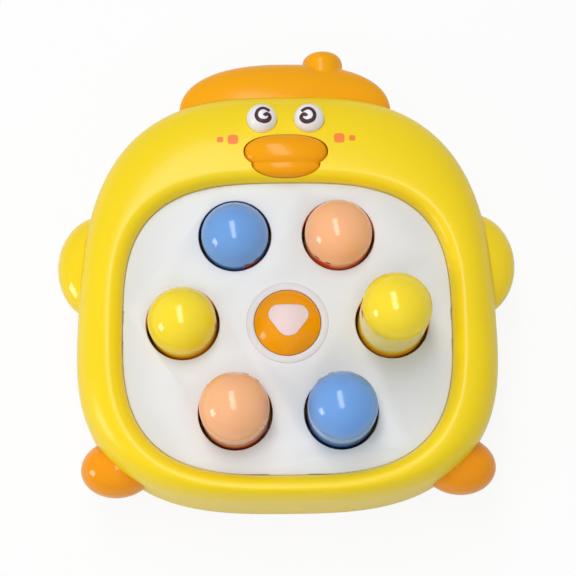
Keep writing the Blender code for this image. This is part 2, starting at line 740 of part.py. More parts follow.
def add_rear_bosses(shell):
    for name, x, y in screw_places():
        boss = prism(circle(SCREW_BOSS_RADIUS, SMALL_STEPS), FLOOR_TOP - SINK, -PARTING_DEPTH - GAP)
        add(shell, finish(boss, name + "_boss", place=(x, y, 0)))
        head = prism(
            circle(SCREW_HEAD_RADIUS + SCREW_HOLE_CLEARANCE, TINY_STEPS),
            -BODY_DEPTH - OVERRUN, -SCREW_HEAD_DEPTH,
        )
        cut(shell, finish(head, name + "_well", place=(x, y, 0)))
        shank = prism(
            circle(SCREW_SHANK_RADIUS + SCREW_HOLE_CLEARANCE, TINY_STEPS),
            -SCREW_HEAD_DEPTH - SINK, -PARTING_DEPTH + OVERRUN,
        )
        cut(shell, finish(shank, name + "_hole", place=(x, y, 0)))
    spindle = prism(circle(SPINDLE_RADIUS, SMALL_STEPS), FLOOR_TOP - SINK, WEB_TOP + WHEEL_HUB_HEIGHT)
    add(shell, finish(spindle, "spindle"))
    for k, (x, y) in enumerate(plate_posts()):
        post = prism(circle(PLATE_POST_RADIUS, TINY_STEPS), FLOOR_TOP - SINK, PLATE_BOTTOM - GAP)
        add(shell, finish(post, "plate_post_%d" % k, place=(x, y, 0)))


def plate_posts():
    left = PLATE_POST_INSET - PLATE_LEFT
    right = PLATE_RIGHT - PLATE_POST_INSET
    return [
        (left, PLATE_POST_INSET - PLATE_FAR),
        (left, -PLATE_NEAR - PLATE_POST_INSET),
        (right, -PLATE_FAR + PLATE_POST_INSET),
    ]


def add_battery_bay(shell):
    half_length = BAY_HALF_LENGTH + WALL
    half_width = BAY_HALF_WIDTH + WALL
    low = (-half_length, BAY_CENTRE_Y - half_width, FLOOR_TOP - SINK)
    high = (half_length, BAY_CENTRE_Y + half_width, BAY_CEILING + WALL)
    add(shell, finish(box(low, high), "bay_walls"))
    ear_start = BAY_HALF_LENGTH + BAY_LEDGE
    half = DOOR_EAR_WIDTH / 2 + BAY_LEDGE
    low = (ear_start - SINK, BAY_CENTRE_Y - half, FLOOR_TOP - SINK)
    high = (ear_start + DOOR_EAR_LENGTH + BAY_LEDGE, BAY_CENTRE_Y + half, FLOOR_TOP + DOOR_BLOCK_HEIGHT)
    add(shell, finish(box(low, high), "door_block"))
    low = (-BAY_HALF_LENGTH, BAY_CENTRE_Y - BAY_HALF_WIDTH, -BODY_DEPTH - OVERRUN)
    high = (BAY_HALF_LENGTH, BAY_CENTRE_Y + BAY_HALF_WIDTH, BAY_CEILING)
    cut(shell, finish(box(low, high), "bay_space"))
    cut(shell, finish(prism(door_outline(0), -BODY_DEPTH - OVERRUN, LEDGE_HEIGHT), "door_rebate"))
    radius = SCREW_SHANK_RADIUS + SCREW_HOLE_CLEARANCE
    hole = prism(circle(radius, TINY_STEPS), -BODY_DEPTH, DOOR_TOP + DOOR_SCREW_LENGTH + GAP)
    cut(shell, finish(hole, "door_screw_hole", place=(door_screw_x(), BAY_CENTRE_Y, 0)))


def door_screw_x():
    return BAY_HALF_LENGTH + BAY_LEDGE + DOOR_EAR_LENGTH / 2


# The battery door's outline: a plate with one ear for its screw
def door_outline(shrink):
    left = shrink - BAY_HALF_LENGTH - BAY_LEDGE
    right = BAY_HALF_LENGTH + BAY_LEDGE - shrink
    low = BAY_CENTRE_Y - BAY_HALF_WIDTH - BAY_LEDGE + shrink
    high = BAY_CENTRE_Y + BAY_HALF_WIDTH + BAY_LEDGE - shrink
    ear = right + DOOR_EAR_LENGTH
    ear_half = DOOR_EAR_WIDTH / 2 - shrink
    return [
        (left, low), (right, low), (right, BAY_CENTRE_Y - ear_half), (ear, BAY_CENTRE_Y - ear_half),
        (ear, BAY_CENTRE_Y + ear_half), (right, BAY_CENTRE_Y + ear_half), (right, high), (left, high),
    ]


def cut_speaker_grille(shell):
    for k in range(GRILLE_SLOTS):
        across = (k - (GRILLE_SLOTS - 1) / 2) * GRILLE_PITCH
        half = math.sqrt((SPEAKER_RADIUS - SPEAKER_RIM) ** 2 - across ** 2) - SPEAKER_RIM
        low = (-half, across - GRILLE_SLOT_WIDTH / 2, -BODY_DEPTH - OVERRUN)
        high = (half, across + GRILLE_SLOT_WIDTH / 2, FLOOR_TOP + SINK)
        cut(shell, finish(box(low, high), "grille_slot_%d" % k, place=(SPEAKER_X, SPEAKER_Y, 0)))


def cut_switch_slot(shell):
    low = (-SWITCH_KNOB_LENGTH / 2 - GAP, -SWITCH_KNOB_WIDTH / 2 - GAP, -BODY_DEPTH - OVERRUN)
    high = (SWITCH_KNOB_LENGTH / 2 + SWITCH_TRAVEL + GAP, SWITCH_KNOB_WIDTH / 2 + GAP, FLOOR_TOP + SINK)
    cut(shell, finish(box(low, high), "switch_slot", place=(SWITCH_X, SWITCH_Y, 0)))


def make_deck():
    edge = DECK_EDGE_ROUND
    profile = [
        (-GAP - edge, 0),
        (-GAP, -edge),
        (-GAP, -BEZEL_LIP_DEPTH - GAP),
        (DECK_FLANGE_WIDTH, -BEZEL_LIP_DEPTH - GAP),
        (DECK_FLANGE_WIDTH, -BEZEL_LIP_DEPTH - GAP - DECK_FLANGE_THICKNESS),
        (-DECK_RIM_WIDTH - GAP, -BEZEL_LIP_DEPTH - GAP - DECK_FLANGE_THICKNESS),
        (-DECK_RIM_WIDTH - GAP, -DECK_THICKNESS),
    ]
    loops = []
    for grow, height in profile:
        loops.append(polar_loop(lambda angle, grow=grow: deck_edge(angle, grow), height))
    deck = finish(loft(loops), "game_deck", "panel_white")
    open_mole_holes(deck)
    add_button_guide(deck)
    add_board_posts(deck)
    cut_clip_slots(deck)


# A hole for each mole, with a collar under it
def open_mole_holes(deck):
    for name, direction, rise, colour in MOLES:
        place = ring_place(direction)
        outer = prism(circle(HOLE_RADIUS + COLLAR_WALL), -COLLAR_DEPTH, -DECK_THICKNESS + SINK)
        add(deck, finish(outer, name + "_collar", place=place))
        hole = prism(circle(HOLE_RADIUS), -COLLAR_DEPTH - OVERRUN, OVERRUN)
        cut(deck, finish(hole, name + "_hole", place=place))


def add_button_guide(deck):
    add(deck, button_collar())
    outline = circle(BUTTON_RADIUS + BUTTON_CLEARANCE, FINE_STEPS)
    cut(deck, finish(prism(outline, -BUTTON_COLLAR_DEPTH - OVERRUN, OVERRUN), "button_hole"))


# Posts under the deck that carry the main board
def add_board_posts(deck):
    for k in range(BOARD_POSTS):
        angle = BOARD_POST_START + math.tau * k / BOARD_POSTS
        post = prism(circle(BOARD_POST_RADIUS, TINY_STEPS), GAP - MAIN_BOARD_DEPTH, SINK - DECK_THICKNESS)
        place = (BOARD_POST_RING * math.cos(angle), BOARD_POST_RING * math.sin(angle), 0)
        add(deck, finish(post, "board_post_%d" % k, place=place))


def ring_place(direction, height=0):
    angle = math.radians(direction)
    return (MOLE_RING_RADIUS * math.cos(angle), MOLE_RING_RADIUS * math.sin(angle), height)


# The low ring round the button and the collar that guides it
def button_collar():
    inner = BUTTON_RADIUS + BUTTON_CLEARANCE
    outer = BUTTON_RING_RADIUS
    profile = [
        (0, -BUTTON_COLLAR_DEPTH),
        (inner + COLLAR_WALL, -BUTTON_COLLAR_DEPTH),
        (inner + COLLAR_WALL, SINK - DECK_THICKNESS),
        (outer, SINK - DECK_THICKNESS),
        (outer, RING_HEIGHT / 2),
        (outer - RING_HEIGHT / 2, RING_HEIGHT),
        (0, RING_HEIGHT),
    ]
    return finish(turned(profile, FINE_STEPS), "button_ring")


# Shallow slots in the deck's edge, over the clips that hold it
def cut_clip_slots(deck):
    places = []
    for side in (-1, 1):
        places.append((math.pi * 3 / 2, side * BOTTOM_CLIP_SPREAD, BOTTOM_CLIP_LENGTH))
        places.append((0, side * SIDE_CLIP_SPREAD - SIDE_CLIP_MIDDLE, SIDE_CLIP_LENGTH))
        places.append((math.pi, side * SIDE_CLIP_SPREAD + SIDE_CLIP_MIDDLE, SIDE_CLIP_LENGTH))
    for k, (angle, across, length) in enumerate(places):
        reach = deck_edge(angle) - GAP
        low = (reach - CLIP_SLOT_DEPTH, across - length / 2, -BEZEL_LIP_DEPTH)
        high = (reach + OVERRUN, across + length / 2, OVERRUN)
        cut(deck, finish(box(low, high), "clip_slot_%d" % k, turn=(0, 0, angle)))


def hat_loop(half_width, half_length, height):
    points = squircle(half_width, half_length, HAT_CORNER_POWER, FINE_STEPS)
    return [(x, y + HAT_MIDDLE, height) for x, y in points]


# A beret's crown: upright sides and a low dome for its face
def make_hat(envelope):
    half_length = HAT_TOP_REACH - HAT_MIDDLE
    inner = (HAT_HALF_WIDTH - HAT_BACK_ROUND, half_length - HAT_BACK_ROUND)
    loops = [hat_loop(*inner, -HAT_BACK_DEPTH)]
    loops.append(hat_loop(HAT_HALF_WIDTH, half_length, HAT_BACK_ROUND - HAT_BACK_DEPTH))
    for degrees in (0, 20, 40, 58, 74):
        lean = math.radians(degrees)
        height = HAT_DOME_HEIGHT * math.sin(lean) - HAT_RIM_DEPTH
        loops.append(hat_loop(HAT_HALF_WIDTH * math.cos(lean), half_length * math.cos(lean), height))
    hat = finish(loft(loops), "hat", "trim_orange")
    add(hat, hat_knob())
    combine(hat, envelope, "DIFFERENCE")
    middle = (0, BODY_TOP_REACH)
    add(hat, tab_shape("hat_tab", middle, math.pi / 2, HAT_TAB_WIDTH, 0))
    cut(bpy.data.objects["front_bezel"], tab_shape("hat_notch", middle, math.pi / 2, HAT_TAB_WIDTH, GAP))
    return hat


# The rounded knob on the hat, right of its middle
def hat_knob():
    loops = []
    root = HAT_TOP_REACH - KNOB_ROOT
    stops = [(root, 0)]
    for degrees in (0, 30, 55, 75):
        lean = math.radians(degrees)
        stops.append((KNOB_REACH - KNOB_ROUND * (1 - math.sin(lean)), lean))
    stops.append((KNOB_REACH, math.radians(85)))
    for y, lean in stops:
        inset = KNOB_ROUND * (1 - math.cos(lean))
        points = squircle(KNOB_HALF_WIDTH - inset, KNOB_HALF_DEPTH - inset, KNOB_CORNER_POWER, SMALL_STEPS)
        loops.append([(KNOB_OFFSET + x, y, z - KNOB_DEPTH) for x, z in points])
    return finish(loft(loops), "hat_knob")


# A squashed ball, trimmed against the body, with a tab between the shells
def side_pad(name, material, envelope, shape, centre, tab_width):
    pad = finish(shape, name, material, place=(centre[0], centre[1], centre[2]))
    combine(pad, envelope, "DIFFERENCE")
    direction = math.atan2(centre[1], centre[0])
    add(pad, tab_shape(name + "_tab", centre[:2], direction, tab_width, 0))
    cut(bpy.data.objects["front_bezel"], tab_shape(name + "_notch", centre[:2], direction, tab_width, GAP))
    return pad


def ball(half_x, half_y, half_z):
    bm = bmesh.new()
    bmesh.ops.create_uvsphere(bm, u_segments=ROUND_STEPS, v_segments=ROUND_STEPS // 2, radius=1)
    bmesh.ops.scale(bm, vec=(half_x, half_y, half_z), verts=bm.verts)
    return bm


def make_wing(name, side, envelope):
    shape = ball(WING_HALF_WIDTH, WING_HALF_LENGTH, WING_HALF_DEPTH)
    centre = (side * WING_CENTRE_X, WING_CENTRE_Y, -WING_DEPTH)
    side_pad(name, "body_yellow", envelope, shape, centre, WING_TAB_WIDTH)


def make_foot(name, side, envelope):
    shape = ball(FOOT_HALF_WIDTH, FOOT_HALF_LENGTH, FOOT_HALF_DEPTH)
    turn = Matrix.Rotation(-side * FOOT_TURN, 4, "Z")
    bmesh.ops.transform(shape, matrix=turn, verts=shape.verts)
    centre = (side * FOOT_CENTRE_X, -FOOT_CENTRE_Y, -FOOT_DEPTH)
    side_pad(name, "trim_orange", envelope, shape, centre, FOOT_TAB_WIDTH)


# Where an eye stands: its place on the face, and the turn of its axis
def eye_stand(side):
    height, lean = bezel_face(side * EYE_OFFSET, EYE_CENTRE_Y)
    bearing = math.atan2(EYE_CENTRE_Y, side * EYE_OFFSET)
    return (side * EYE_OFFSET, EYE_CENTRE_Y, height), (0, lean * EYE_LEAN_SHARE, bearing)


# The bezel is thicker under each eye, with a round seat sunk in it
def seat_eye(bezel, side):
    place, turn = eye_stand(side)
    boss = prism(circle(EYE_RADIUS + EYE_SKIRT), -EYE_BOSS_DEPTH, -EYE_SKIRT)
    add(bezel, finish(boss, "eye_boss_%d" % side, place=place, turn=turn))
    floor = -EYE_SKIRT - GAP
    bore = EYE_PEG_RADIUS + GAP
    profile = [
        (0, -EYE_BOSS_DEPTH - OVERRUN), (bore, -EYE_BOSS_DEPTH - OVERRUN), (bore, floor),
        (EYE_RADIUS + GAP, floor), (EYE_RADIUS + GAP, EYE_SKIRT + OVERRUN), (0, EYE_SKIRT + OVERRUN),
    ]
    cut(bezel, finish(turned(profile), "eye_seat_%d" % side, place=place, turn=turn))


def make_eye(name, side):
    place, turn = eye_stand(side)
    foot = -EYE_SKIRT - EYE_PEG_LENGTH
    profile = [(0, foot), (EYE_PEG_RADIUS, foot), (EYE_PEG_RADIUS, -EYE_SKIRT), (EYE_RADIUS, -EYE_SKIRT)]
    profile += dome_arc(EYE_RADIUS, EYE_HEIGHT, 0, EYE_DOME_STEPS)[::-1]
    finish(turned(profile), name, "eye_white", place=place, turn=turn)


# The squarish oval that a lobe of the beak follows
def lobe_outline(y, half_width, half_length):
    points = squircle(half_width, half_length, BEAK_CORNER_POWER, FINE_STEPS)
    return [(x, y + along) for x, along in points]


# One lobe of the beak: an oval skirt that closes in a dome
def beak_lobe(y, half_width, half_length, height, low):
    loops = [[(x, along, low) for x, along in lobe_outline(y, half_width, half_length)]]
    for degrees in (0, 30, 55, 75, 86):
        lean = math.radians(degrees)
        z = BEAK_WAIST_HEIGHT + height * math.sin(lean)
        outline = lobe_outline(y, half_width * math.cos(lean), half_length * math.cos(lean))
        loops.append([(x, along, z) for x, along in outline])
    return loft(loops)


# Straight-sided solid of the beak's outline, for its hole
def beak_prism(name, grow, low, high):
    upper = lobe_outline(BEAK_UPPER_Y, BEAK_UPPER_HALF_WIDTH + grow, BEAK_UPPER_HALF_LENGTH + grow)
    lower = lobe_outline(BEAK_LOWER_Y, BEAK_LOWER_HALF_WIDTH + grow, BEAK_LOWER_HALF_LENGTH + grow)
    solid = finish(prism(upper, low, high), name)
    add(solid, finish(prism(lower, low - SINK, high + SINK), name + "_lower"))
    return solid


def make_beak():
    foot = -BEAK_SKIRT_DEPTH
    upper = beak_lobe(
        BEAK_UPPER_Y, BEAK_UPPER_HALF_WIDTH, BEAK_UPPER_HALF_LENGTH, BEAK_UPPER_HEIGHT, foot
    )
    beak = finish(upper, "beak_key", "trim_orange")
    lower = beak_lobe(
        BEAK_LOWER_Y, BEAK_LOWER_HALF_WIDTH, BEAK_LOWER_HALF_LENGTH, BEAK_LOWER_HEIGHT, foot - SINK
    )
    add(beak, finish(lower, "beak_lower_lobe"))
    stem = prism(circle(BEAK_STEM_RADIUS, SMALL_STEPS), -BEAK_STEM_DEPTH, 0)
    add(beak, finish(stem, "beak_stem", place=(0, BEAK_UPPER_Y, 0)))


def make_beak_board():
    low = (-BEAK_BOARD_WIDTH / 2, -BEAK_BOARD_LENGTH / 2, -BEAK_BOARD_DEPTH - BOARD_THICKNESS)
    high = (BEAK_BOARD_WIDTH / 2, BEAK_BOARD_LENGTH / 2, -BEAK_BOARD_DEPTH)
    finish(box(low, high), "beak_board", "board_green", place=(0, BEAK_UPPER_Y, 0))


def make_main_board():
    top = -MAIN_BOARD_DEPTH
    board = prism(circle(MAIN_BOARD_RADIUS, FINE_STEPS), top - BOARD_THICKNESS, top)
    finish(board, "main_board", "board_green")


# The silicone dome that carries a key and closes its contact
def make_contact_dome(name, y, board_top, key_bottom):
    profile = [
        (0, board_top + GAP),
        (DOME_FOOT_RADIUS, board_top + GAP),
        (DOME_FOOT_RADIUS, board_top + SINK),
        (DOME_TOP_RADIUS, key_bottom - GAP - SINK),
        (DOME_TOP_RADIUS, key_bottom - GAP),
        (0, key_bottom - GAP),
    ]
    finish(turned(profile, SMALL_STEPS), name, "silicone_grey", place=(0, y, 0))


# The button's domed outside
def button_dome():
    arc = dome_arc(BUTTON_RADIUS, BUTTON_TOP_HEIGHT - BUTTON_EDGE_HEIGHT, 0, BUTTON_DOME_STEPS)
    return [(radius, BUTTON_EDGE_HEIGHT + height) for radius, height in arc]


def make_centre_button():
    arc = button_dome()
    bottom = -BUTTON_SKIRT_DEPTH
    profile = arc + [
        (BUTTON_RADIUS, bottom + BUTTON_FLANGE_HEIGHT),
        (BUTTON_RADIUS + BUTTON_FLANGE, bottom + BUTTON_FLANGE_HEIGHT),
        (BUTTON_RADIUS + BUTTON_FLANGE, bottom),
        (BUTTON_RADIUS - BUTTON_WALL, bottom),
        (BUTTON_RADIUS - BUTTON_WALL, BUTTON_EDGE_HEIGHT - BUTTON_WALL),
        (BUTTON_STEM_RADIUS, BUTTON_EDGE_HEIGHT - BUTTON_WALL),
        (BUTTON_STEM_RADIUS, bottom),
        (0, bottom),
    ]
    button = finish(turned(profile, FINE_STEPS), "centre_button", "button_orange")
    pocket = prism(icon_outline(GAP), ICON_FLOOR_HEIGHT - GAP, BUTTON_TOP_HEIGHT + OVERRUN)
    cut(button, finish(pocket, "icon_pocket"))


# The light window in the button, level with its dome
def make_button_icon():
    window = prism(icon_outline(0), ICON_FLOOR_HEIGHT, BUTTON_TOP_HEIGHT + OVERRUN)
    icon = finish(window, "button_icon", "icon_pink")
    cover = [(0, 0)] + [(BUTTON_RADIUS, 0)] + button_dome()[::-1]
    combine(icon, helper(finish(turned(cover, FINE_STEPS), "icon_cover")), "INTERSECT")


# Rounded triangle that points to the player
def icon_outline(grow):
    corners = [
        (-ICON_HALF_WIDTH + ICON_CORNER_RADIUS, ICON_TOP_REACH - ICON_CORNER_RADIUS),
        (0, -ICON_BOTTOM_REACH + ICON_CORNER_RADIUS),
        (ICON_HALF_WIDTH - ICON_CORNER_RADIUS, ICON_TOP_REACH - ICON_CORNER_RADIUS),
    ]
    points = []
    for k, corner in enumerate(corners):
        before = Vector(corners[k - 1])
        after = Vector(corners[(k + 1) % len(corners)])
        here = Vector(corner)
        along_in = here - before
        along_out = after - here
        start = math.atan2(along_in.y, along_in.x) - math.pi / 2
        sweep = (math.atan2(along_out.y, along_out.x) - math.pi / 2 - start) % math.tau
        for step in range(ICON_CORNER_STEPS + 1):
            angle = start + sweep * step / ICON_CORNER_STEPS
            radius = ICON_CORNER_RADIUS + grow
            points.append((here.x + radius * math.cos(angle), here.y + radius * math.sin(angle)))
    return points


# Cap, lifter and spring of one mole
def make_mole(name, direction, rise, colour):
    place = ring_place(direction, rise)
    turn = (0, 0, math.radians(direction))
    make_cap(name, place, turn, colour)
    make_lifter(name, place, turn)
    make_spring(name, place)


def make_cap(name, place, turn, colour):
    bore = MOLE_RADIUS - MOLE_WALL
    ceiling = dome_arc(MOLE_RADIUS, MOLE_DOME_HEIGHT, MOLE_WALL, MOLE_INNER_STEPS)
    profile = dome_arc(MOLE_RADIUS, MOLE_DOME_HEIGHT, 0, MOLE_DOME_STEPS) + [
        (MOLE_RADIUS, MOLE_FLANGE_HEIGHT - MOLE_SKIRT),
        (MOLE_RADIUS + MOLE_FLANGE, MOLE_FLANGE_HEIGHT - MOLE_SKIRT),
        (MOLE_RADIUS + MOLE_FLANGE, -MOLE_SKIRT),
        (bore, -MOLE_SKIRT),
        (bore, ceiling[-1][1]),
    ]
    cap = finish(turned(profile + ceiling[-2::-1]), "mole_" + name, colour, place=place, turn=turn)
    half = TRACK_WIDTH / 2 + NOTCH_CLEARANCE
    reach = MOLE_RADIUS + MOLE_FLANGE + OVERRUN
    low = (-half - track_bow(), -reach, -MOLE_SKIRT - OVERRUN)
    high = (half, reach, notch_height() - MOLE_SKIRT)
    cut(cap, finish(box(low, high), name + "_skirt_notch", place=place, turn=turn))


# Section of a dome from its top down to its foot, as (radius, height) pairs
def dome_arc(foot_radius, height, wall, steps):
    radius = (foot_radius ** 2 + height ** 2) / (2 * height)
    middle = height - radius
    opening = math.acos(-middle / radius)
    arc = []
    for k in range(steps + 1):
        lean = opening * k / steps
        arc.append(((radius - wall) * math.sin(lean), middle + (radius - wall) * math.cos(lean)))
    return arc


# How far round the wheel a skirt's wall stands from its own middle
def skirt_angle():
    return math.asin((MOLE_RADIUS + NOTCH_CLEARANCE) / MOLE_RING_RADIUS)


# How far the track bends inwards on its way from a mole's middle to its skirt
def track_bow():
    return MOLE_RING_RADIUS * (1 - math.cos(skirt_angle()))


# The notch clears the track where it enters under a skirt that is pressed home
def notch_height():
    entry = skirt_angle() + WHEEL_SWING
    highest = 0
    for name, direction, rise, colour in MOLES:
        pressed_edge = rise - MOLE_SKIRT - PRESS_TRAVEL
        for side in (-1, 1):
            highest = max(highest, track_height(math.radians(direction) + side * entry) - pressed_edge)
    return highest + NOTCH_CLEARANCE


def make_lifter(name, place, turn):
    foot = GAP - LIFTER_HEIGHT
    piston = LIFTER_PISTON_HEIGHT - LIFTER_HEIGHT
    radius = MOLE_RADIUS - MOLE_WALL - LIFTER_CLEARANCE
    profile = [
        (0, foot),
        (LIFTER_NOSE_RADIUS, foot),
        (LIFTER_STEM_RADIUS, foot + LIFTER_NOSE_HEIGHT),
        (LIFTER_STEM_RADIUS, piston - LIFTER_PISTON_THICKNESS - LIFTER_CONE_HEIGHT),
        (radius, piston - LIFTER_PISTON_THICKNESS),
        (radius, piston),
        (0, piston),
    ]
    finish(turned(profile, SMALL_STEPS), "lifter_" + name, "lifter_white", place=place, turn=turn)


# Height of the cap's ceiling at a distance from the axis
def ceiling_height(distance):
    arc = dome_arc(MOLE_RADIUS, MOLE_DOME_HEIGHT, MOLE_WALL, MOLE_INNER_STEPS)
    for inner, outer in zip(arc, arc[1:]):
        if inner[0] <= distance <= outer[0]:
            share = (distance - inner[0]) / (outer[0] - inner[0])
            return inner[1] + share * (outer[1] - inner[1])
    return arc[-1][1]


# The coil between the lifter's piston and the inside of the cap
def make_spring(name, place):
    low = LIFTER_PISTON_HEIGHT - LIFTER_HEIGHT + GAP + SPRING_WIRE_RADIUS
    high = ceiling_height(SPRING_RADIUS + SPRING_WIRE_RADIUS) - GAP - SPRING_WIRE_RADIUS
    data = bpy.data.curves.new("spring_" + name, "CURVE")
    data.dimensions = "3D"
    data.bevel_depth = SPRING_WIRE_RADIUS
    data.bevel_resolution = 0
    data.use_fill_caps = True
    count = int(SPRING_TURNS * SPRING_POINTS_PER_TURN) + 1
    spline = data.splines.new("POLY")
    spline.points.add(count - 1)
    for k in range(count):
        share = k / (count - 1)
        angle = math.tau * k / SPRING_POINTS_PER_TURN
        height = low + (high - low) * share
        spline.points[k].co = (SPRING_RADIUS * math.cos(angle), SPRING_RADIUS * math.sin(angle), height, 1)
    data.materials.append(MATERIALS["spring_steel"])
    spring = bpy.data.objects.new("spring_" + name, data)
    bpy.context.scene.collection.objects.link(spring)
    spring.parent = TOY
    spring.location = place


# Height of the wheel's track in one direction: level under each mole, and an
# easy slope from one mole's level to the next
def track_height(angle):
    spacing = math.tau / len(MOLES)
    turn = angle % math.tau
    here = int(turn / spacing)
    along = turn - here * spacing
    rise_here = MOLES[here][2]
    rise_next = MOLES[(here + 1) % len(MOLES)][2]
    share = (along - TRACK_DWELL) / (spacing - 2 * TRACK_DWELL)
    share = min(max(share, 0), 1)
    ease = share * share * (3 - 2 * share)
    return rise_here + (rise_next - rise_here) * ease - LIFTER_HEIGHT


def gear_outline(teeth, pitch_radius, phase):
    module = 2 * pitch_radius / teeth
    tip = pitch_radius + GEAR_ADDENDUM_SHARE * module
    root = pitch_radius - GEAR_DEDENDUM_SHARE * module
    pitch = math.tau / teeth
    half = pitch * GEAR_TOOTH_SHARE / 2
    narrow = (tip - pitch_radius) * math.tan(GEAR_FLANK_ANGLE) / pitch_radius
    widen = (pitch_radius - root) * math.tan(GEAR_FLANK_ANGLE) / pitch_radius
    points = []
    for k in range(teeth):
        middle = phase + pitch * k
        corners = ((root, -half - widen), (tip, narrow - half), (tip, half - narrow), (root, half + widen))
        for radius, offset in corners:
            angle = middle + offset
            points.append((radius * math.cos(angle), radius * math.sin(angle)))
    return points


def make_track_wheel():
    outline = gear_outline(WHEEL_TEETH, WHEEL_PITCH_RADIUS, -math.pi / 2)
    wheel = finish(prism(outline, WHEEL_BOTTOM, WHEEL_GEAR_TOP), "track_wheel", "gear_nylon")
    track_inner = MOLE_RING_RADIUS - TRACK_WIDTH / 2
    rim_inner = track_inner - WHEEL_GEAR_RIM
    hollow = prism(circle(rim_inner, FINE_STEPS), WEB_TOP, WHEEL_GEAR_TOP + OVERRUN)
    cut(wheel, finish(hollow, "wheel_hollow"))
    for k in range(WHEEL_SPOKES):
        cut(wheel, wheel_window(k, rim_inner))
    add(wheel, wheel_track(track_inner, track_inner + TRACK_WIDTH))
    hub = prism(circle(WHEEL_HUB_RADIUS, SMALL_STEPS), WEB_TOP - SINK, WEB_TOP + WHEEL_HUB_HEIGHT - SINK)
    add(wheel, finish(hub, "wheel_hub"))
    bore = circle(SPINDLE_RADIUS + SPINDLE_CLEARANCE, SMALL_STEPS)
    bore_top = WEB_TOP + WHEEL_HUB_HEIGHT + OVERRUN
    cut(wheel, finish(prism(bore, WHEEL_BOTTOM - OVERRUN, bore_top), "wheel_bore"))


# The wavy wall that the lifters' noses stand on
def wheel_track(inner, outer):
    sections = []
    steps = TRACK_STEPS_PER_MOLE * len(MOLES)
    foot = WHEEL_GEAR_TOP - SINK
    for k in range(steps):
        angle = math.tau * k / steps
        top = track_height(angle)
        section = []
        for radius, height in ((inner, foot), (outer, foot), (outer, top), (inner, top)):
            section.append((radius * math.cos(angle), radius * math.sin(angle), height))
        sections.append(section)
    return finish(loft_round(sections), "track")


# One opening of the wheel's web, between two spokes
def wheel_window(k, rim_radius):
    outer = rim_radius - WHEEL_SPOKE_WIDTH / 2
    inner = WHEEL_HUB_RADIUS + WHEEL_SPOKE_WIDTH / 2
    quarter = math.tau / WHEEL_SPOKES
    points = []
    steps = list(range(WINDOW_STEPS + 1))
    for radius, order in ((outer, steps), (inner, steps[::-1])):
        margin = math.asin(WHEEL_SPOKE_WIDTH / 2 / radius)
        for step in order:
            angle = quarter * k + margin + (quarter - 2 * margin) * step / WINDOW_STEPS
            points.append((radius * math.cos(angle), radius * math.sin(angle)))
    return finish(prism(points, WHEEL_BOTTOM - OVERRUN, WEB_TOP + SINK), "wheel_window_%d" % k)


# The wheel's pinion and a larger gear in one piece, on the axle
def make_reduction_gear():
    place = (0, AXLE_Y, 0)
    bottom = WHEEL_GEAR_TOP - GEAR_FACE
    half_pitch = math.pi / PINION_TEETH
    lower = gear_outline(PINION_TEETH, PINION_PITCH_RADIUS, math.pi / 2 + half_pitch)
    pinion = prism(lower, bottom, LARGE_GEAR_BOTTOM + SINK)
    gear = finish(pinion, "reduction_gear", "gear_nylon", place=place)
    upper = gear_outline(LARGE_GEAR_TEETH, LARGE_GEAR_PITCH_RADIUS, MOTOR_DIRECTION)
    add(gear, finish(prism(upper, LARGE_GEAR_BOTTOM, LARGE_GEAR_TOP), "large_gear", place=place))
    bore = prism(circle(AXLE_RADIUS + GAP, TINY_STEPS), bottom - OVERRUN, LARGE_GEAR_TOP + OVERRUN)
    cut(gear, finish(bore, "gear_bore", place=place))


def make_gear_axle():
    axle = prism(circle(AXLE_RADIUS, TINY_STEPS), FLOOR_TOP + GAP, PLATE_TOP)
    finish(axle, "gear_axle", "steel", place=(0, AXLE_Y, 0))


def make_motor_pinion():
    place = (MOTOR_X, MOTOR_Y, 0)
    half_pitch = math.pi / MOTOR_PINION_TEETH
    phase = MOTOR_DIRECTION + math.pi + half_pitch
    outline = gear_outline(MOTOR_PINION_TEETH, MOTOR_PINION_PITCH_RADIUS, phase)
    teeth = prism(outline, LARGE_GEAR_BOTTOM, LARGE_GEAR_TOP)
    pinion = finish(teeth, "motor_pinion", "gear_nylon", place=place)
    hole = circle(MOTOR_SHAFT_RADIUS + GAP, TINY_STEPS)
    bore = prism(hole, LARGE_GEAR_BOTTOM - OVERRUN, LARGE_GEAR_TOP + OVERRUN)
    cut(pinion, finish(bore, "motor_pinion_bore", place=place))


def make_motor_shaft():
    shaft = prism(circle(MOTOR_SHAFT_RADIUS, TINY_STEPS), LARGE_GEAR_BOTTOM, PLATE_TOP)
    finish(shaft, "motor_shaft", "steel", place=(MOTOR_X, MOTOR_Y, 0))


# A round can with two flats
def make_motor():
    outline = []
    for x, y in circle(MOTOR_RADIUS):
        outline.append((x, min(max(y, -MOTOR_FLAT_HALF_WIDTH), MOTOR_FLAT_HALF_WIDTH)))
    can = prism(outline, PLATE_TOP + GAP, PLATE_TOP + GAP + MOTOR_LENGTH)
    finish(can, "drive_motor", "steel", place=(MOTOR_X, MOTOR_Y, 0))


def make_gearbox_plate():
    low = (-PLATE_LEFT, -PLATE_FAR, PLATE_BOTTOM)
    high = (PLATE_RIGHT, -PLATE_NEAR, PLATE_TOP)
    plate = finish(box(low, high), "gearbox_plate", "black_plastic")
    holes = (
        ("plate_axle_hole", AXLE_RADIUS + GAP, (0, AXLE_Y, 0)),
        ("plate_shaft_hole", MOTOR_SHAFT_RADIUS + SPINDLE_CLEARANCE, (MOTOR_X, MOTOR_Y, 0)),
    )
    for name, radius, place in holes:
        hole = prism(circle(radius, TINY_STEPS), PLATE_BOTTOM - OVERRUN, PLATE_TOP + OVERRUN)
        cut(plate, finish(hole, name, place=place))


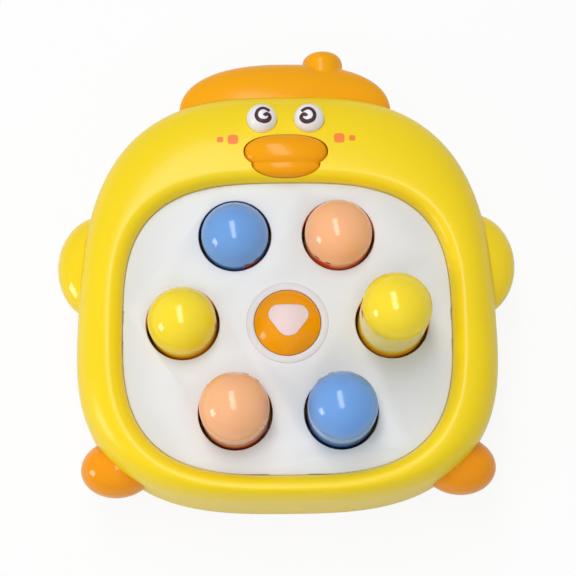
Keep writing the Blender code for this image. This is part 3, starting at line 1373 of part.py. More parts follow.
def make_speaker():
    low = FLOOR_TOP + GAP
    profile = [
        (0, low + SPEAKER_CONE_DEPTH),
        (SPEAKER_RADIUS - SPEAKER_RIM, low),
        (SPEAKER_RADIUS, low),
        (SPEAKER_RADIUS, low + SPEAKER_RIM),
        (SPEAKER_MAGNET_RADIUS, low + SPEAKER_HEIGHT),
        (SPEAKER_MAGNET_RADIUS, low + SPEAKER_HEIGHT + SPEAKER_MAGNET_HEIGHT),
        (0, low + SPEAKER_HEIGHT + SPEAKER_MAGNET_HEIGHT),
    ]
    finish(turned(profile), "speaker", "speaker_black", place=(SPEAKER_X, SPEAKER_Y, 0))


def make_power_slider():
    plate_low = FLOOR_TOP + GAP
    place = (SWITCH_X, SWITCH_Y, 0)
    low = (-SWITCH_PLATE_LENGTH / 2, -SWITCH_PLATE_WIDTH / 2, plate_low)
    high = (SWITCH_PLATE_LENGTH / 2, SWITCH_PLATE_WIDTH / 2, plate_low + SWITCH_PLATE_THICKNESS)
    slider = finish(box(low, high), "power_slider", "black_plastic", place=place)
    low = (-SWITCH_KNOB_LENGTH / 2, -SWITCH_KNOB_WIDTH / 2, SWITCH_KNOB_RECESS - BODY_DEPTH)
    high = (SWITCH_KNOB_LENGTH / 2, SWITCH_KNOB_WIDTH / 2, plate_low + SWITCH_PLATE_THICKNESS / 2)
    add(slider, finish(box(low, high), "slider_knob", place=place))


def make_power_switch():
    bottom = FLOOR_TOP + GAP + SWITCH_PLATE_THICKNESS + GAP
    low = (-SWITCH_BODY_LENGTH / 2, -SWITCH_BODY_WIDTH / 2, bottom)
    high = (SWITCH_BODY_LENGTH / 2, SWITCH_BODY_WIDTH / 2, bottom + SWITCH_BODY_HEIGHT)
    finish(box(low, high), "power_switch", "steel", place=(SWITCH_X, SWITCH_Y, 0))


def make_battery_cells():
    pitch = 2 * (CELL_RADIUS + GAP)
    half = CELL_LENGTH / 2
    for k in range(CELL_COUNT):
        profile = [
            (0, -half), (CELL_RADIUS, -half), (CELL_RADIUS, half), (CELL_TIP_RADIUS, half),
            (CELL_TIP_RADIUS, half + CELL_TIP_LENGTH), (0, half + CELL_TIP_LENGTH),
        ]
        name = "battery_cell_%d" % (k + 1)
        tip_side = 1 if k % 2 == 0 else -1
        y = BAY_CENTRE_Y + (k - (CELL_COUNT - 1) / 2) * pitch
        place = (-tip_side * CELL_TIP_LENGTH / 2, y, CELL_AXIS)
        turn = (0, tip_side * math.pi / 2, 0)
        finish(turned(profile, SMALL_STEPS), name, "cell_wrap", place=place, turn=turn)


def make_contact_plates():
    for name, side in (("contact_plate_left", -1), ("contact_plate_right", 1)):
        near = side * (BAY_HALF_LENGTH - GAP)
        far = side * (CELL_LENGTH / 2 + CELL_TIP_LENGTH / 2 + GAP)
        low = (min(near, far), BAY_CENTRE_Y - BAY_HALF_WIDTH + GAP, CELL_AXIS - CONTACT_HEIGHT / 2)
        high = (max(near, far), BAY_CENTRE_Y + BAY_HALF_WIDTH - GAP, CELL_AXIS + CONTACT_HEIGHT / 2)
        finish(box(low, high), name, "spring_steel")


def make_battery_door():
    door = finish(prism(door_outline(GAP), -BODY_DEPTH, DOOR_TOP), "battery_door", "body_yellow")
    place = (door_screw_x(), BAY_CENTRE_Y, 0)
    head_floor = door_screw_seat()
    well = circle(SCREW_HEAD_RADIUS + SCREW_HOLE_CLEARANCE, TINY_STEPS)
    cut(door, finish(prism(well, -BODY_DEPTH - OVERRUN, head_floor), "door_well", place=place))
    hole = circle(SCREW_SHANK_RADIUS + SCREW_HOLE_CLEARANCE, TINY_STEPS)
    cut(door, finish(prism(hole, -BODY_DEPTH - OVERRUN, DOOR_TOP + OVERRUN), "door_hole", place=place))


# Floor of the well that the door screw's head sits in
def door_screw_seat():
    return DOOR_TOP - DOOR_THICKNESS / 2


def make_door_screw():
    place = (door_screw_x(), BAY_CENTRE_Y, 0)
    head_height = DOOR_THICKNESS / 2 - GAP
    make_screw("door_screw", place, door_screw_seat() - GAP, head_height, DOOR_SCREW_LENGTH)


# A pan-head screw whose head hangs below the given height
def make_screw(name, place, seat, head_height, length):
    profile = [
        (0, seat - head_height), (SCREW_HEAD_RADIUS, seat - head_height), (SCREW_HEAD_RADIUS, seat),
        (SCREW_SHANK_RADIUS, seat), (SCREW_SHANK_RADIUS, seat + length), (0, seat + length),
    ]
    finish(turned(profile, TINY_STEPS), name, "steel", place=place)


def make_case_screws():
    for name, x, y in screw_places():
        make_screw(name, (x, y, 0), -SCREW_HEAD_DEPTH - GAP, SCREW_HEAD_HEIGHT, SCREW_LENGTH)


clear_scene()
MATERIALS = make_materials()
TOY = bpy.data.objects.new("toy", None)
bpy.context.scene.collection.objects.link(TOY)
TOY.location = (0, TOY_Y, BODY_DEPTH)

make_front_bezel()
make_rear_shell()
make_deck()
trimmer = body_envelope()
make_hat(trimmer)
for side_name, side in (("left", -1), ("right", 1)):
    make_wing(side_name + "_wing", side, trimmer)
    make_foot(side_name + "_foot", side, trimmer)
    make_eye(side_name + "_eye", side)
make_beak()
make_beak_board()
make_contact_dome("beak_dome", BEAK_UPPER_Y, -BEAK_BOARD_DEPTH, -BEAK_STEM_DEPTH)
make_centre_button()
make_button_icon()
make_main_board()
make_contact_dome("centre_dome", 0, -MAIN_BOARD_DEPTH, -BUTTON_SKIRT_DEPTH)
for mole in MOLES:
    make_mole(*mole)
make_track_wheel()
make_reduction_gear()
make_gear_axle()
make_motor_pinion()
make_motor_shaft()
make_motor()
make_gearbox_plate()
make_speaker()
make_power_slider()
make_power_switch()
make_battery_cells()
make_contact_plates()
make_battery_door()
make_door_screw()
make_case_screws()
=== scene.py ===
import json
import math

import bmesh
import bpy
from mathutils import Matrix, Vector


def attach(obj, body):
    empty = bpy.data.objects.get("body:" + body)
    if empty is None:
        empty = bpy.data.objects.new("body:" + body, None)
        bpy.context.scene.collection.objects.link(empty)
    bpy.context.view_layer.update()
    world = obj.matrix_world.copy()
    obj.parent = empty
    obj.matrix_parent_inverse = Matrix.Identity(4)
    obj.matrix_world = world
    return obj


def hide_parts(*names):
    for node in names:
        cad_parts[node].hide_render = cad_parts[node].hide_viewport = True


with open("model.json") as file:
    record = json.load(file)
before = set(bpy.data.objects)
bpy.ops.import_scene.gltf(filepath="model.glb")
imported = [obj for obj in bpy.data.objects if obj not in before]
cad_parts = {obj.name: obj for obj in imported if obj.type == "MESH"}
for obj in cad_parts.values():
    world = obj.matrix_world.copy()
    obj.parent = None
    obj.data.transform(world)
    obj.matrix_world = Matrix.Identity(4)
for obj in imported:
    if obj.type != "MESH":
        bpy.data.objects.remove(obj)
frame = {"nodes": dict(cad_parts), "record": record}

# what Blender starts with is put away first
for startName in ("Cube", "Light", "Camera"):
    if startName in bpy.data.objects:
        bpy.data.objects.remove(bpy.data.objects[startName], do_unlink=True)
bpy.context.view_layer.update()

# The toy lies on its back. Lengths are metres, and every piece is placed in the frame's own space.
# The ring of moles has its middle at toyY, and deckTop is the height of the white deck's face.
toyY = -0.03405
deckTop = 0.072
circleSteps = 192
hair = 0.00001      # places nearer than this count as the same
weld = 0.000002     # corners nearer than this are merged


# small helpers for working as by hand

def dropSelection():
    if bpy.context.mode != "OBJECT":
        bpy.ops.object.mode_set(mode="OBJECT")
    bpy.ops.object.select_all(action="DESELECT")


def pick(piece):
    dropSelection()
    piece.select_set(True)
    bpy.context.view_layer.objects.active = piece


def settle(piece):
    # puts place, turn and size into the mesh
    pick(piece)
    bpy.ops.object.transform_apply(location=True, rotation=True, scale=True)


def openMesh(piece, mode="EDGE"):
    pick(piece)
    bpy.ops.object.mode_set(mode="EDIT")
    bpy.ops.mesh.select_mode(type=mode)
    return bmesh.from_edit_mesh(piece.data)


def closeMesh():
    bpy.ops.mesh.select_all(action="SELECT")
    bpy.ops.mesh.remove_doubles(threshold=weld)
    bpy.ops.mesh.normals_make_consistent(inside=False)
    bpy.ops.object.mode_set(mode="OBJECT")


def chooseEdges(mesh, test):
    for part in (mesh.verts, mesh.edges, mesh.faces):
        for item in part:
            item.select = False
    for edge in mesh.edges:
        if all(test(v.co) for v in edge.verts):
            edge.select_set(True)
    mesh.select_flush_mode()


def runModifier(piece, kind, **values):
    pick(piece)
    step = piece.modifiers.new(kind.lower(), kind)
    for name, value in values.items():
        setattr(step, name, value)
    bpy.ops.object.modifier_apply(modifier=step.name)


def carve(piece, cutter, operation="DIFFERENCE", keep=False):
    runModifier(piece, "BOOLEAN", object=cutter, operation=operation, solver="EXACT")
    if not keep:
        bpy.data.objects.remove(cutter, do_unlink=True)


def copyPiece(piece, name):
    twin = piece.copy()
    twin.data = piece.data.copy()
    twin.name = name
    bpy.context.scene.collection.objects.link(twin)
    return twin


def joinPieces(first, *others):
    dropSelection()
    for other in others:
        other.select_set(True)
    first.select_set(True)
    bpy.context.view_layer.objects.active = first
    bpy.ops.object.join()
    return first


def smooth(piece, degrees=35):
    pick(piece)
    bpy.ops.object.shade_smooth_by_angle(angle=math.radians(degrees))


def paint(piece, *finishes):
    piece.data.materials.clear()
    for finish in finishes:
        piece.data.materials.append(finish)


def done(piece, body, slotName, *nodes):
    settle(piece)
    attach(piece, body)
    if nodes:
        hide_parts(*nodes)


def ringSkin(name, stops, middle=(0, toyY), steps=circleSteps, ends="capped"):
    # a circle is extruded once for each stop, and each new edge loop is laid on that stop's outline
    dropSelection()
    bpy.ops.mesh.primitive_circle_add(vertices=steps, radius=0.1, location=(middle[0], middle[1], 0))
    skin = bpy.context.object
    skin.name = name
    settle(skin)
    mesh = openMesh(skin)
    bpy.ops.mesh.select_all(action="SELECT")
    for number, stop in enumerate(stops):
        if number:
            bpy.ops.mesh.extrude_region_move(TRANSFORM_OT_translate={"value": (0, 0, 0)})
            mesh = bmesh.from_edit_mesh(skin.data)
        for v in mesh.verts:
            if v.select:
                angle = math.atan2(v.co.y - middle[1], v.co.x - middle[0])
                reach, height = stop(angle)
                v.co = (middle[0] + reach * math.cos(angle), middle[1] + reach * math.sin(angle), height)
        bmesh.update_edit_mesh(skin.data)
        if number == 0 and ends == "capped":
            mesh = bmesh.from_edit_mesh(skin.data)
            bpy.ops.mesh.edge_face_add()
            mesh = bmesh.from_edit_mesh(skin.data)
            for face in mesh.faces:
                face.select = False
            mesh.select_flush_mode()
            for edge in mesh.edges:
                edge.select_set(True)
            bmesh.update_edit_mesh(skin.data)
    if ends == "capped":
        bpy.ops.mesh.edge_face_add()
    if ends == "round":
        mesh = bmesh.from_edit_mesh(skin.data)
        for edge in mesh.edges:
            edge.select_set(edge.is_boundary)
        bmesh.update_edit_mesh(skin.data)
        bpy.ops.mesh.bridge_edge_loops()
    closeMesh()
    return skin


def superReach(angle, halfWidth, top, bottom, power):
    upDown = top if math.sin(angle) >= 0 else bottom
    across = abs(math.cos(angle) / halfWidth) ** power
    along = abs(math.sin(angle) / upDown) ** power
    return (across + along) ** (-1 / power)


# finishes

def newFinish(name, tone, roughness, **sockets):
    finish = bpy.data.materials.new(name)
    finish.use_nodes = True
    shader = finish.node_tree.nodes["Principled BSDF"]
    shader.inputs["Base Color"].default_value = (*tone, 1)
    shader.inputs["Roughness"].default_value = roughness
    for label, value in sockets.items():
        shader.inputs[label.replace("_", " ")].default_value = value
    finish.diffuse_color = (*tone, 1)
    return finish, finish.node_tree.nodes, finish.node_tree.links, shader


skinNoise = {"low": 0.3, "high": 0.7, "cloudDetail": 3.0, "glossShare": 6, "glossDetail": 4.0, "grainDetail": 2.0,
             "relief": 0.0002}


def mouldedSkin(name, tone, roughness, drift=0.05, spread=0.02, cloud=14.0, grain=2200.0, depth=0.012, **sockets):
    # moulded plastic: slow colour drift, uneven gloss and the fine skin of the mould
    finish, nodes, links, shader = newFinish(name, tone, roughness, **sockets)
    place = nodes.new("ShaderNodeTexCoord")
    clouds = nodes.new("ShaderNodeTexNoise")
    clouds.inputs["Scale"].default_value = cloud
    clouds.inputs["Detail"].default_value = skinNoise["cloudDetail"]
    links.new(place.outputs["Object"], clouds.inputs["Vector"])
    shades = nodes.new("ShaderNodeValToRGB")
    shades.color_ramp.elements[0].position = skinNoise["low"]
    shades.color_ramp.elements[0].color = tuple(c * (1 - drift) for c in tone) + (1,)
    shades.color_ramp.elements[1].position = skinNoise["high"]
    shades.color_ramp.elements[1].color = tuple(min(1, c * (1 + drift)) for c in tone) + (1,)
    links.new(clouds.outputs["Fac"], shades.inputs["Fac"])
    links.new(shades.outputs["Color"], shader.inputs["Base Color"])
    gloss = nodes.new("ShaderNodeTexNoise")
    gloss.inputs["Scale"].default_value = cloud * skinNoise["glossShare"]
    gloss.inputs["Detail"].default_value = skinNoise["glossDetail"]
    links.new(place.outputs["Object"], gloss.inputs["Vector"])
    level = nodes.new("ShaderNodeMapRange")
    level.inputs["From Min"].default_value = skinNoise["low"]
    level.inputs["From Max"].default_value = skinNoise["high"]
    level.inputs["To Min"].default_value = roughness - spread
    level.inputs["To Max"].default_value = roughness + spread
    links.new(gloss.outputs["Fac"], level.inputs["Value"])
    links.new(level.outputs["Result"], shader.inputs["Roughness"])
    skin = nodes.new("ShaderNodeTexNoise")
    skin.inputs["Scale"].default_value = grain
    skin.inputs["Detail"].default_value = skinNoise["grainDetail"]
    links.new(place.outputs["Object"], skin.inputs["Vector"])
    relief = nodes.new("ShaderNodeBump")
    relief.inputs["Strength"].default_value = depth
    relief.inputs["Distance"].default_value = skinNoise["relief"]
    links.new(skin.outputs["Fac"], relief.inputs["Height"])
    links.new(relief.outputs["Normal"], shader.inputs["Normal"])
    return finish


def bounceGlowSkin(name, tone, deep):
    # painted bounce light: the wall of a hole takes a deep tint from the piece that stands in it, painted into its
    # colour and made to glow, though the real wall is white
    return mouldedSkin(name, tone, 0.5, Emission_Color=(*deep, 1), Emission_Strength=0.8)


finishes = {
    "body_yellow": mouldedSkin("duckYellow", (0.90, 0.655, 0.008), 0.30, drift=0.02, spread=0.012, depth=0.008,
                               IOR=1.40),
    "trim_orange": mouldedSkin("hatOrange", (0.90, 0.375, 0.002), 0.24, drift=0.02, Specular_IOR_Level=0.22),
    "button_orange": mouldedSkin("buttonOrange", (0.87, 0.325, 0.0015), 0.12, drift=0.02, IOR=1.40,
                                 Specular_IOR_Level=0.45),
    "panel_white": mouldedSkin("deckWhite", (0.685, 0.695, 0.71), 0.36, drift=0.006, grain=3200.0, depth=0.02),
    "icon_pink": mouldedSkin("lampPink", (0.82, 0.64, 0.63), 0.50, drift=0.03, Specular_IOR_Level=0.25),
    "eye_white": mouldedSkin("eyeWhite", (0.80, 0.80, 0.83), 0.24, drift=0.01, spread=0.03),
    "yellow": mouldedSkin("moleYellow", (0.91, 0.69, 0.024), 0.13, drift=0.03, spread=0.03),
    "peach": mouldedSkin("molePeach", (0.92, 0.455, 0.225), 0.13, drift=0.03, spread=0.03),
    "blue": mouldedSkin("moleBlue", (0.155, 0.345, 0.74), 0.13, drift=0.03, spread=0.03),
    "lifter_white": mouldedSkin("lifterWhite", (0.78, 0.78, 0.76), 0.45),
    "gear_nylon": mouldedSkin("gearNylon", (0.84, 0.82, 0.76), 0.42, Subsurface_Weight=0.1),
    "spring_steel": mouldedSkin("springSteel", (0.55, 0.56, 0.58), 0.28, drift=0.08, Metallic=1.0),
    "steel": mouldedSkin("screwSteel", (0.60, 0.60, 0.62), 0.32, drift=0.08, Metallic=1.0),
    "board_green": mouldedSkin("boardGreen", (0.02, 0.20, 0.07), 0.38, drift=0.25, cloud=260.0),
    "silicone_grey": mouldedSkin("siliconeGrey", (0.50, 0.51, 0.53), 0.62),
    "black_plastic": mouldedSkin("switchBlack", (0.02, 0.02, 0.022), 0.45, drift=0.15, depth=0.2),
    "speaker_black": mouldedSkin("coneBlack", (0.03, 0.03, 0.03), 0.75, drift=0.2, depth=0.5),
    "cell_wrap": mouldedSkin("cellWrap", (0.08, 0.10, 0.13), 0.30, drift=0.1),
}
ink = {
    "spiral": mouldedSkin("spiralBrown", (0.068, 0.018, 0.020), 0.35, drift=0.1),
    "cheek": mouldedSkin("cheekCoral", (0.92, 0.215, 0.024), 0.40, drift=0.05),
    "dash": mouldedSkin("dashInk", (0.05, 0.035, 0.05), 0.35, drift=0.1),
    "bill": mouldedSkin("billRed", (0.88, 0.10, 0.012), 0.30, drift=0.05),
    # the beak is the hat's orange painted a little deeper: painted shade
    "beak": mouldedSkin("beakOrangeShaded", (0.88, 0.345, 0.002), 0.17, drift=0.02, Specular_IOR_Level=0.20),
    "wing": mouldedSkin("wingYellow", (0.90, 0.65, 0.006), 0.12, drift=0.02, Specular_IOR_Level=0.5),
    "foot": mouldedSkin("footOrange", (0.87, 0.305, 0.0015), 0.08, drift=0.02, IOR=1.40, Specular_IOR_Level=0.5),
    "ring": mouldedSkin("ringBlush", (0.70, 0.675, 0.69), 0.42, drift=0.01, Specular_IOR_Level=0.3),
}

# painted bounce light for the hole walls, one glowing deep tint for each mole colour
paintedBounceGlow = {
    "yellow": bounceGlowSkin("paintedGlowAmber", (0.50, 0.16, 0.01), (0.36, 0.09, 0.006)),
    "peach": bounceGlowSkin("paintedGlowRed", (0.40, 0.06, 0.01), (0.26, 0.03, 0.007)),
    "blue": bounceGlowSkin("paintedGlowNavy", (0.03, 0.035, 0.12), (0.012, 0.014, 0.045)),
}
slotOf = {part["node"]: part["material_slot"] for part in frame["record"]["subparts"]}
for node, shape in frame["nodes"].items():
    for socket in shape.material_slots:
        socket.material = finishes[slotOf[node]]
print("finishes ready")


# deck, body outline and moles' places

deck = {"halfWidth": 0.0897, "top": 0.0798, "bottom": 0.0831, "power": 3.1, "gap": 0.00012,
        "edgeRound": 0.0006, "edgeSteps": 4, "lip": 0.0025, "flange": 0.0018, "flangeThick": 0.0021, "rim": 0.0024,
        "thick": 0.0024, "hole": 0.0201, "holeRound": 0.0005, "collar": 0.0018, "collarDepth": 0.006,
        "ringRadius": 0.057, "buttonHole": 0.0184, "ringMiddle": 0.0202, "ringHalf": 0.0023,
        "ringHeight": 0.0007, "buttonCollarDepth": 0.0062, "collarTop": 0.0012, "cutDown": 0.02, "cutUp": 0.01,
        "slitDepth": 0.0026, "slitReach": 0.00075, "slitOverrun": 0.002, "endSlitAcross": 0.0172,
        "endSlitHalf": 0.0064, "sideSlitSpread": 0.0085, "sideSlitDrop": 0.0045, "sideSlitHalf": 0.0033,
        "glowFrom": 0.0008, "glowSlack": 0.0001}
body = {"halfWidth": 0.1165, "top": 0.136, "bottom": 0.0985, "power": 2.9, "widening": 0.023,
        "parting": 0.036, "shoulder": 0.014, "crown": 0.0085, "ridge": 0.0075, "wall": 0.0022,
        "lipWall": 0.0016, "draft": 0.001, "rearDraft": 0.0015, "rearRound": 0.006, "floor": 0.0024,
        "slopeSteps": 10, "arcSteps": 22, "insideSteps": 6, "formSteps": 16, "rearSteps": 8}
# each mole's name, its direction in degrees, how high its dome's foot stands over the deck, and its colour
moles = [("right", 0, 0.0372, "yellow"), ("top_right", 60, 0.0055, "peach"),
         ("top_left", 120, 0.0026, "blue"), ("left", 180, 0.0094, "yellow"),
         ("bottom_left", 240, 0.0216, "peach"), ("bottom_right", 300, 0.0216, "blue")]


def deckEdge(angle, grow=0.0):
    return superReach(angle, deck["halfWidth"] + grow, deck["top"] + grow, deck["bottom"] + grow, deck["power"])


def bodyEdge(angle, inset=0.0):
    half = body["halfWidth"] * (1 - body["widening"] * math.sin(angle)) - inset
    return superReach(angle, half, body["top"] - inset, body["bottom"] - inset, body["power"])


def overDeck(grow, height):
    return lambda angle: (deckEdge(angle, grow), deckTop + height)


def ringPlace(direction, height=0.0):
    angle, reach = math.radians(direction), deck["ringRadius"]
    return Vector((reach * math.cos(angle), toyY + reach * math.sin(angle), deckTop + height))


def rod(radius, low, high, place=(0, toyY), vertices=96):
    dropSelection()
    bpy.ops.mesh.primitive_cylinder_add(vertices=vertices, radius=radius, depth=high - low,
                                        location=(place[0], place[1], (low + high) / 2))
    shape = bpy.context.object
    settle(shape)
    return shape


def block(low, high):
    dropSelection()
    middle = [(a + b) / 2 for a, b in zip(low, high)]
    bpy.ops.mesh.primitive_cube_add(size=1, location=middle)
    shape = bpy.context.object
    shape.scale = [b - a for a, b in zip(low, high)]
    settle(shape)
    return shape


def makeDeck():
    gap, edge, lip = deck["gap"], deck["edgeRound"], deck["lip"]
    low = -lip - gap - deck["flangeThick"]
    stops = [overDeck(-deck["rim"] - gap, -deck["thick"]), overDeck(-deck["rim"] - gap, low),
             overDeck(deck["flange"], low), overDeck(deck["flange"], -lip - gap), overDeck(-gap, -lip - gap)]
    for k in range(deck["edgeSteps"] + 1):
        lean = math.pi / 2 * k / deck["edgeSteps"]
        stops.append(overDeck(-gap - edge * (1 - math.cos(lean)), -edge * (1 - math.sin(lean))))
    panel = ringSkin("deckPanel", stops)
    under, deep, above = deckTop - deck["collarTop"], deckTop - deck["cutDown"], deckTop + deck["cutUp"]
    spots = [ringPlace(direction) for name, direction, rise, colour in moles]
    for spot in spots:
        collar = rod(deck["hole"] + deck["collar"], deckTop - deck["collarDepth"], under, spot)
        carve(panel, collar, "UNION")
        carve(panel, rod(deck["hole"], deep, above, spot))
    middle = (0, toyY)
    sleeve = rod(deck["buttonHole"] + deck["collar"], deckTop - deck["buttonCollarDepth"], under, middle)
    carve(panel, sleeve, "UNION")
    dropSelection()
    bpy.ops.mesh.primitive_torus_add(major_segments=128, minor_segments=24, major_radius=deck["ringMiddle"],
                                     minor_radius=deck["ringHalf"], location=(0, toyY, deckTop))
    ring = bpy.context.object
    ring.scale = (1, 1, deck["ringHeight"] / deck["ringHalf"])
    settle(ring)
    carve(panel, ring, "UNION")
    carve(panel, rod(deck["buttonHole"], deep, above, middle, 128))
    # the clip slots round the deck's edge
    low, high, over = deckTop - deck["slitDepth"], deckTop + deck["slitOverrun"], deck["slitOverrun"]
    for across in (-deck["endSlitAcross"], deck["endSlitAcross"]):
        carve(panel, block((across - deck["endSlitHalf"], toyY - deck["bottom"] - over, low),
                           (across + deck["endSlitHalf"], toyY - deck["bottom"] + deck["slitReach"], high)))
    for side in (-1, 1):
        for along in (-deck["sideSlitSpread"], deck["sideSlitSpread"]):
            y = toyY + along - deck["sideSlitDrop"]
            x = side * deck["halfWidth"]
            inner, outer = x - side * deck["slitReach"], x + side * over
            carve(panel, block((min(inner, outer), y - deck["sideSlitHalf"], low),
                               (max(inner, outer), y + deck["sideSlitHalf"], high)))
    # the mouths of the mole holes are rounded
    mesh = openMesh(panel)

    def onMouth(co):
        return abs(co.z - deckTop) < hair and any(
            abs(math.hypot(co.x - s.x, co.y - s.y) - deck["hole"]) < 3 * hair for s in spots)

    chooseEdges(mesh, onMouth)
    bpy.ops.mesh.bevel(offset=deck["holeRound"], segments=3, affect="EDGES")
    closeMesh()
    paint(panel, finishes["panel_white"], ink["ring"], *paintedBounceGlow.values())
    for face in panel.data.polygons:
        reach = math.hypot(face.center.x, face.center.y - toyY)
        if face.center.z > deckTop + hair and reach < deck["ringMiddle"] + deck["ringHalf"]:
            face.material_index = 1
        # the hole walls below the deck's face get the painted, glowing bounce light of their mole's colour
        for spot, (name, direction, rise, colour) in zip(spots, moles):
            inHole = math.hypot(face.center.x - spot.x, face.center.y - spot.y) < deck["hole"] + deck["glowSlack"]
            if inHole and face.center.z < deckTop - deck["glowFrom"]:
                face.material_index = 2 + list(paintedBounceGlow).index(colour)
    smooth(panel)
    done(panel, "shell", "panel_white", "game_deck")


makeDeck()
print("deck done")


# bezel and rear shell

def bezelStops():
    # once round the wall's section: up the inner slope, over the ridge, down to the parting line and back inside
    def seam(offset, height):
        return lambda angle: (deckEdge(angle) + offset, deckTop + height)

    def slope(share, wall):
        lean = math.pi / 2 * (1 - share)
        offset = body["ridge"] - (body["ridge"] - wall) * math.sin(lean)
        return seam(offset, (body["crown"] - wall) * math.cos(lean))

    def arc(share, wall):
        lean = math.pi / 2 * share

        def place(angle):
            length = bodyEdge(angle) - deckEdge(angle)
            run = length - body["ridge"] - body["draft"] - wall
            height = (body["crown"] - wall + body["shoulder"]) * math.cos(lean) - body["shoulder"]
            return deckEdge(angle) + body["ridge"] + run * math.sin(lean), deckTop + height
        return place

    def rim(inset):
        return lambda angle: (bodyEdge(angle) - inset, deckTop - body["parting"])

    stops = [seam(0, -deck["lip"])]
    stops += [slope(k / body["slopeSteps"], 0) for k in range(body["slopeSteps"])]
    stops += [arc(k / body["arcSteps"], 0) for k in range(body["arcSteps"] + 1)]
    stops += [rim(0.0), rim(body["wall"])]
    stops += [arc(1 - k / body["insideSteps"], body["wall"]) for k in range(body["insideSteps"] + 1)]
    stops += [slope(0.5, body["wall"]), slope(0, body["wall"]), seam(body["lipWall"], -deck["lip"])]
    return stops


def makeBodyForm(grow):
    # the body's outside as one block, to trim what stands against it
    def arc(share):
        lean = math.pi / 2 * share

        def place(angle):
            start = deckEdge(angle) + body["ridge"]
            run = bodyEdge(angle, -grow) - body["draft"] - start
            height = (body["crown"] + body["shoulder"] + grow) * math.cos(lean) - body["shoulder"]
            return start + run * math.sin(lean), deckTop + height
        return place

    def down(inset, height):
        return lambda angle: (bodyEdge(angle, inset), height)

    stops = [arc(k / body["formSteps"]) for k in range(body["formSteps"] + 1)]
    stops += [down(-grow, deckTop - body["parting"]), down(body["rearDraft"] - grow, -0.001)]
    return ringSkin("bodyForm", stops)


bezel = ringSkin("bezelShell", bezelStops(), ends="round")
bodyForm = makeBodyForm(0.00003)
print("bezel formed")

eye = {"across": 0.0132, "y": 0.1155, "radius": 0.0085, "height": 0.0068, "lean": 0.25, "raise": 0.0022,
       "skirt": 0.0056, "gap": 0.00012, "seatSlack": 0.0001, "seatTop": 0.02, "pin": 0.0028, "pinLong": 0.003,
       "edge": 0.0003}


def bezelFace(x, y):
    # height and lean of the bezel's outer face at a place on it
    angle = math.atan2(y, x)
    run = bodyEdge(angle) - deckEdge(angle) - body["ridge"] - body["draft"]
    rise = body["crown"] + body["shoulder"]
    sine = (math.hypot(x, y) - deckEdge(angle) - body["ridge"]) / run
    cosine = math.sqrt(max(0.0, 1 - sine * sine))
    return rise * cosine - body["shoulder"], math.atan2(sine / run, cosine / rise)


def eyeStand(side):
    height, lean = bezelFace(side * eye["across"], eye["y"])
    bearing = math.atan2(eye["y"], side * eye["across"])
    turn = Matrix.Rotation(bearing, 4, "Z") @ Matrix.Rotation(lean * eye["lean"], 4, "Y")
    stand = Matrix.Translation((side * eye["across"], toyY + eye["y"], deckTop + height)) @ turn
    return stand @ Matrix.Translation((0, 0, eye["raise"]))


beak = {"upperY": 0.0956, "upperHalf": 0.0231, "upperLong": 0.0100, "upperHigh": 0.0085,
        "lowerY": 0.0885, "lowerHalf": 0.0188, "lowerLong": 0.0072, "lowerHigh": 0.0058,
        "power": 2.3, "swell": 2.1, "waist": 0.0055, "skirt": 0.0030, "gap": 0.0003, "voxel": 0.00032,
        "cutLow": -0.02, "cutHigh": 0.03, "stemRadius": 0.004, "stemDeep": 0.0100, "lowerExtra": 0.0001}


def squareUp(piece, power):
    # a unit circle or ball is swollen towards a squarish outline
    mesh = openMesh(piece)
    for v in mesh.verts:
        grow = superReach(math.atan2(v.co.y, v.co.x), 1, 1, 1, power)
        v.co = (v.co.x * grow, v.co.y * grow, v.co.z)
    closeMesh()


def ovalRod(y, half, long, low, high):
    shape = rod(1.0, deckTop + low, deckTop + high, (0, 0), 96)
    squareUp(shape, beak["power"])
    shape.scale = (half, long, 1)
    shape.location = (0, toyY + y, 0)
    settle(shape)
    return shape


def trimBezel():
    gap, low, high = beak["gap"], beak["cutLow"], beak["cutHigh"]
    carve(bezel, ovalRod(beak["upperY"], beak["upperHalf"] + gap, beak["upperLong"] + gap, low, high))
    carve(bezel, ovalRod(beak["lowerY"], beak["lowerHalf"] + gap, beak["lowerLong"] + gap, low, high))
    for side in (-1, 1):
        seat = rod(eye["radius"] + eye["gap"], -eye["skirt"] - eye["seatSlack"], eye["seatTop"], (0, 0), 96)
        seat.matrix_world = eyeStand(side)
        settle(seat)
        carve(bezel, seat)
    paint(bezel, finishes["body_yellow"])
    smooth(bezel)
    done(bezel, "shell", "body_yellow", "front_bezel")


trimBezel()
print("bezel cut")

rear = {"screws": [(-0.0755, 0.0745), (0.0755, 0.0745), (-0.080, -0.071), (0.080, -0.071)],
        "wellRadius": 0.0030, "wellDepth": 0.024, "bayY": 0.0935, "bayHalfLong": 0.02525, "bayHalfWide": 0.01715,
        "ledge": 0.0012, "earLong": 0.010, "earWide": 0.012, "doorThick": 0.0018, "gap": 0.0003,
        "speaker": (0.056, 0.086), "slots": 5, "slotWide": 0.0018, "pitch": 0.004, "grilleRadius": 0.012,
        "switch": (-0.052, 0.086), "switchNear": 0.0023, "switchFar": 0.0053, "switchHalf": 0.0020,
        "boss": 0.0045, "pilot": 0.0016, "pilotFrom": 0.01, "spindle": 0.004, "spindleTop": 0.0137,
        "buried": 0.001, "bayWall": 0.0022, "bayRoof": 0.0158, "bayDeep": 0.0136, "earHalf": 0.0072,
        "earRoof": 0.0114, "doorPilotTop": 0.0091, "slotTop": 0.0034, "slotEnd": 0.002, "slotRound": 0.00088,
        "cutFrom": -0.01}


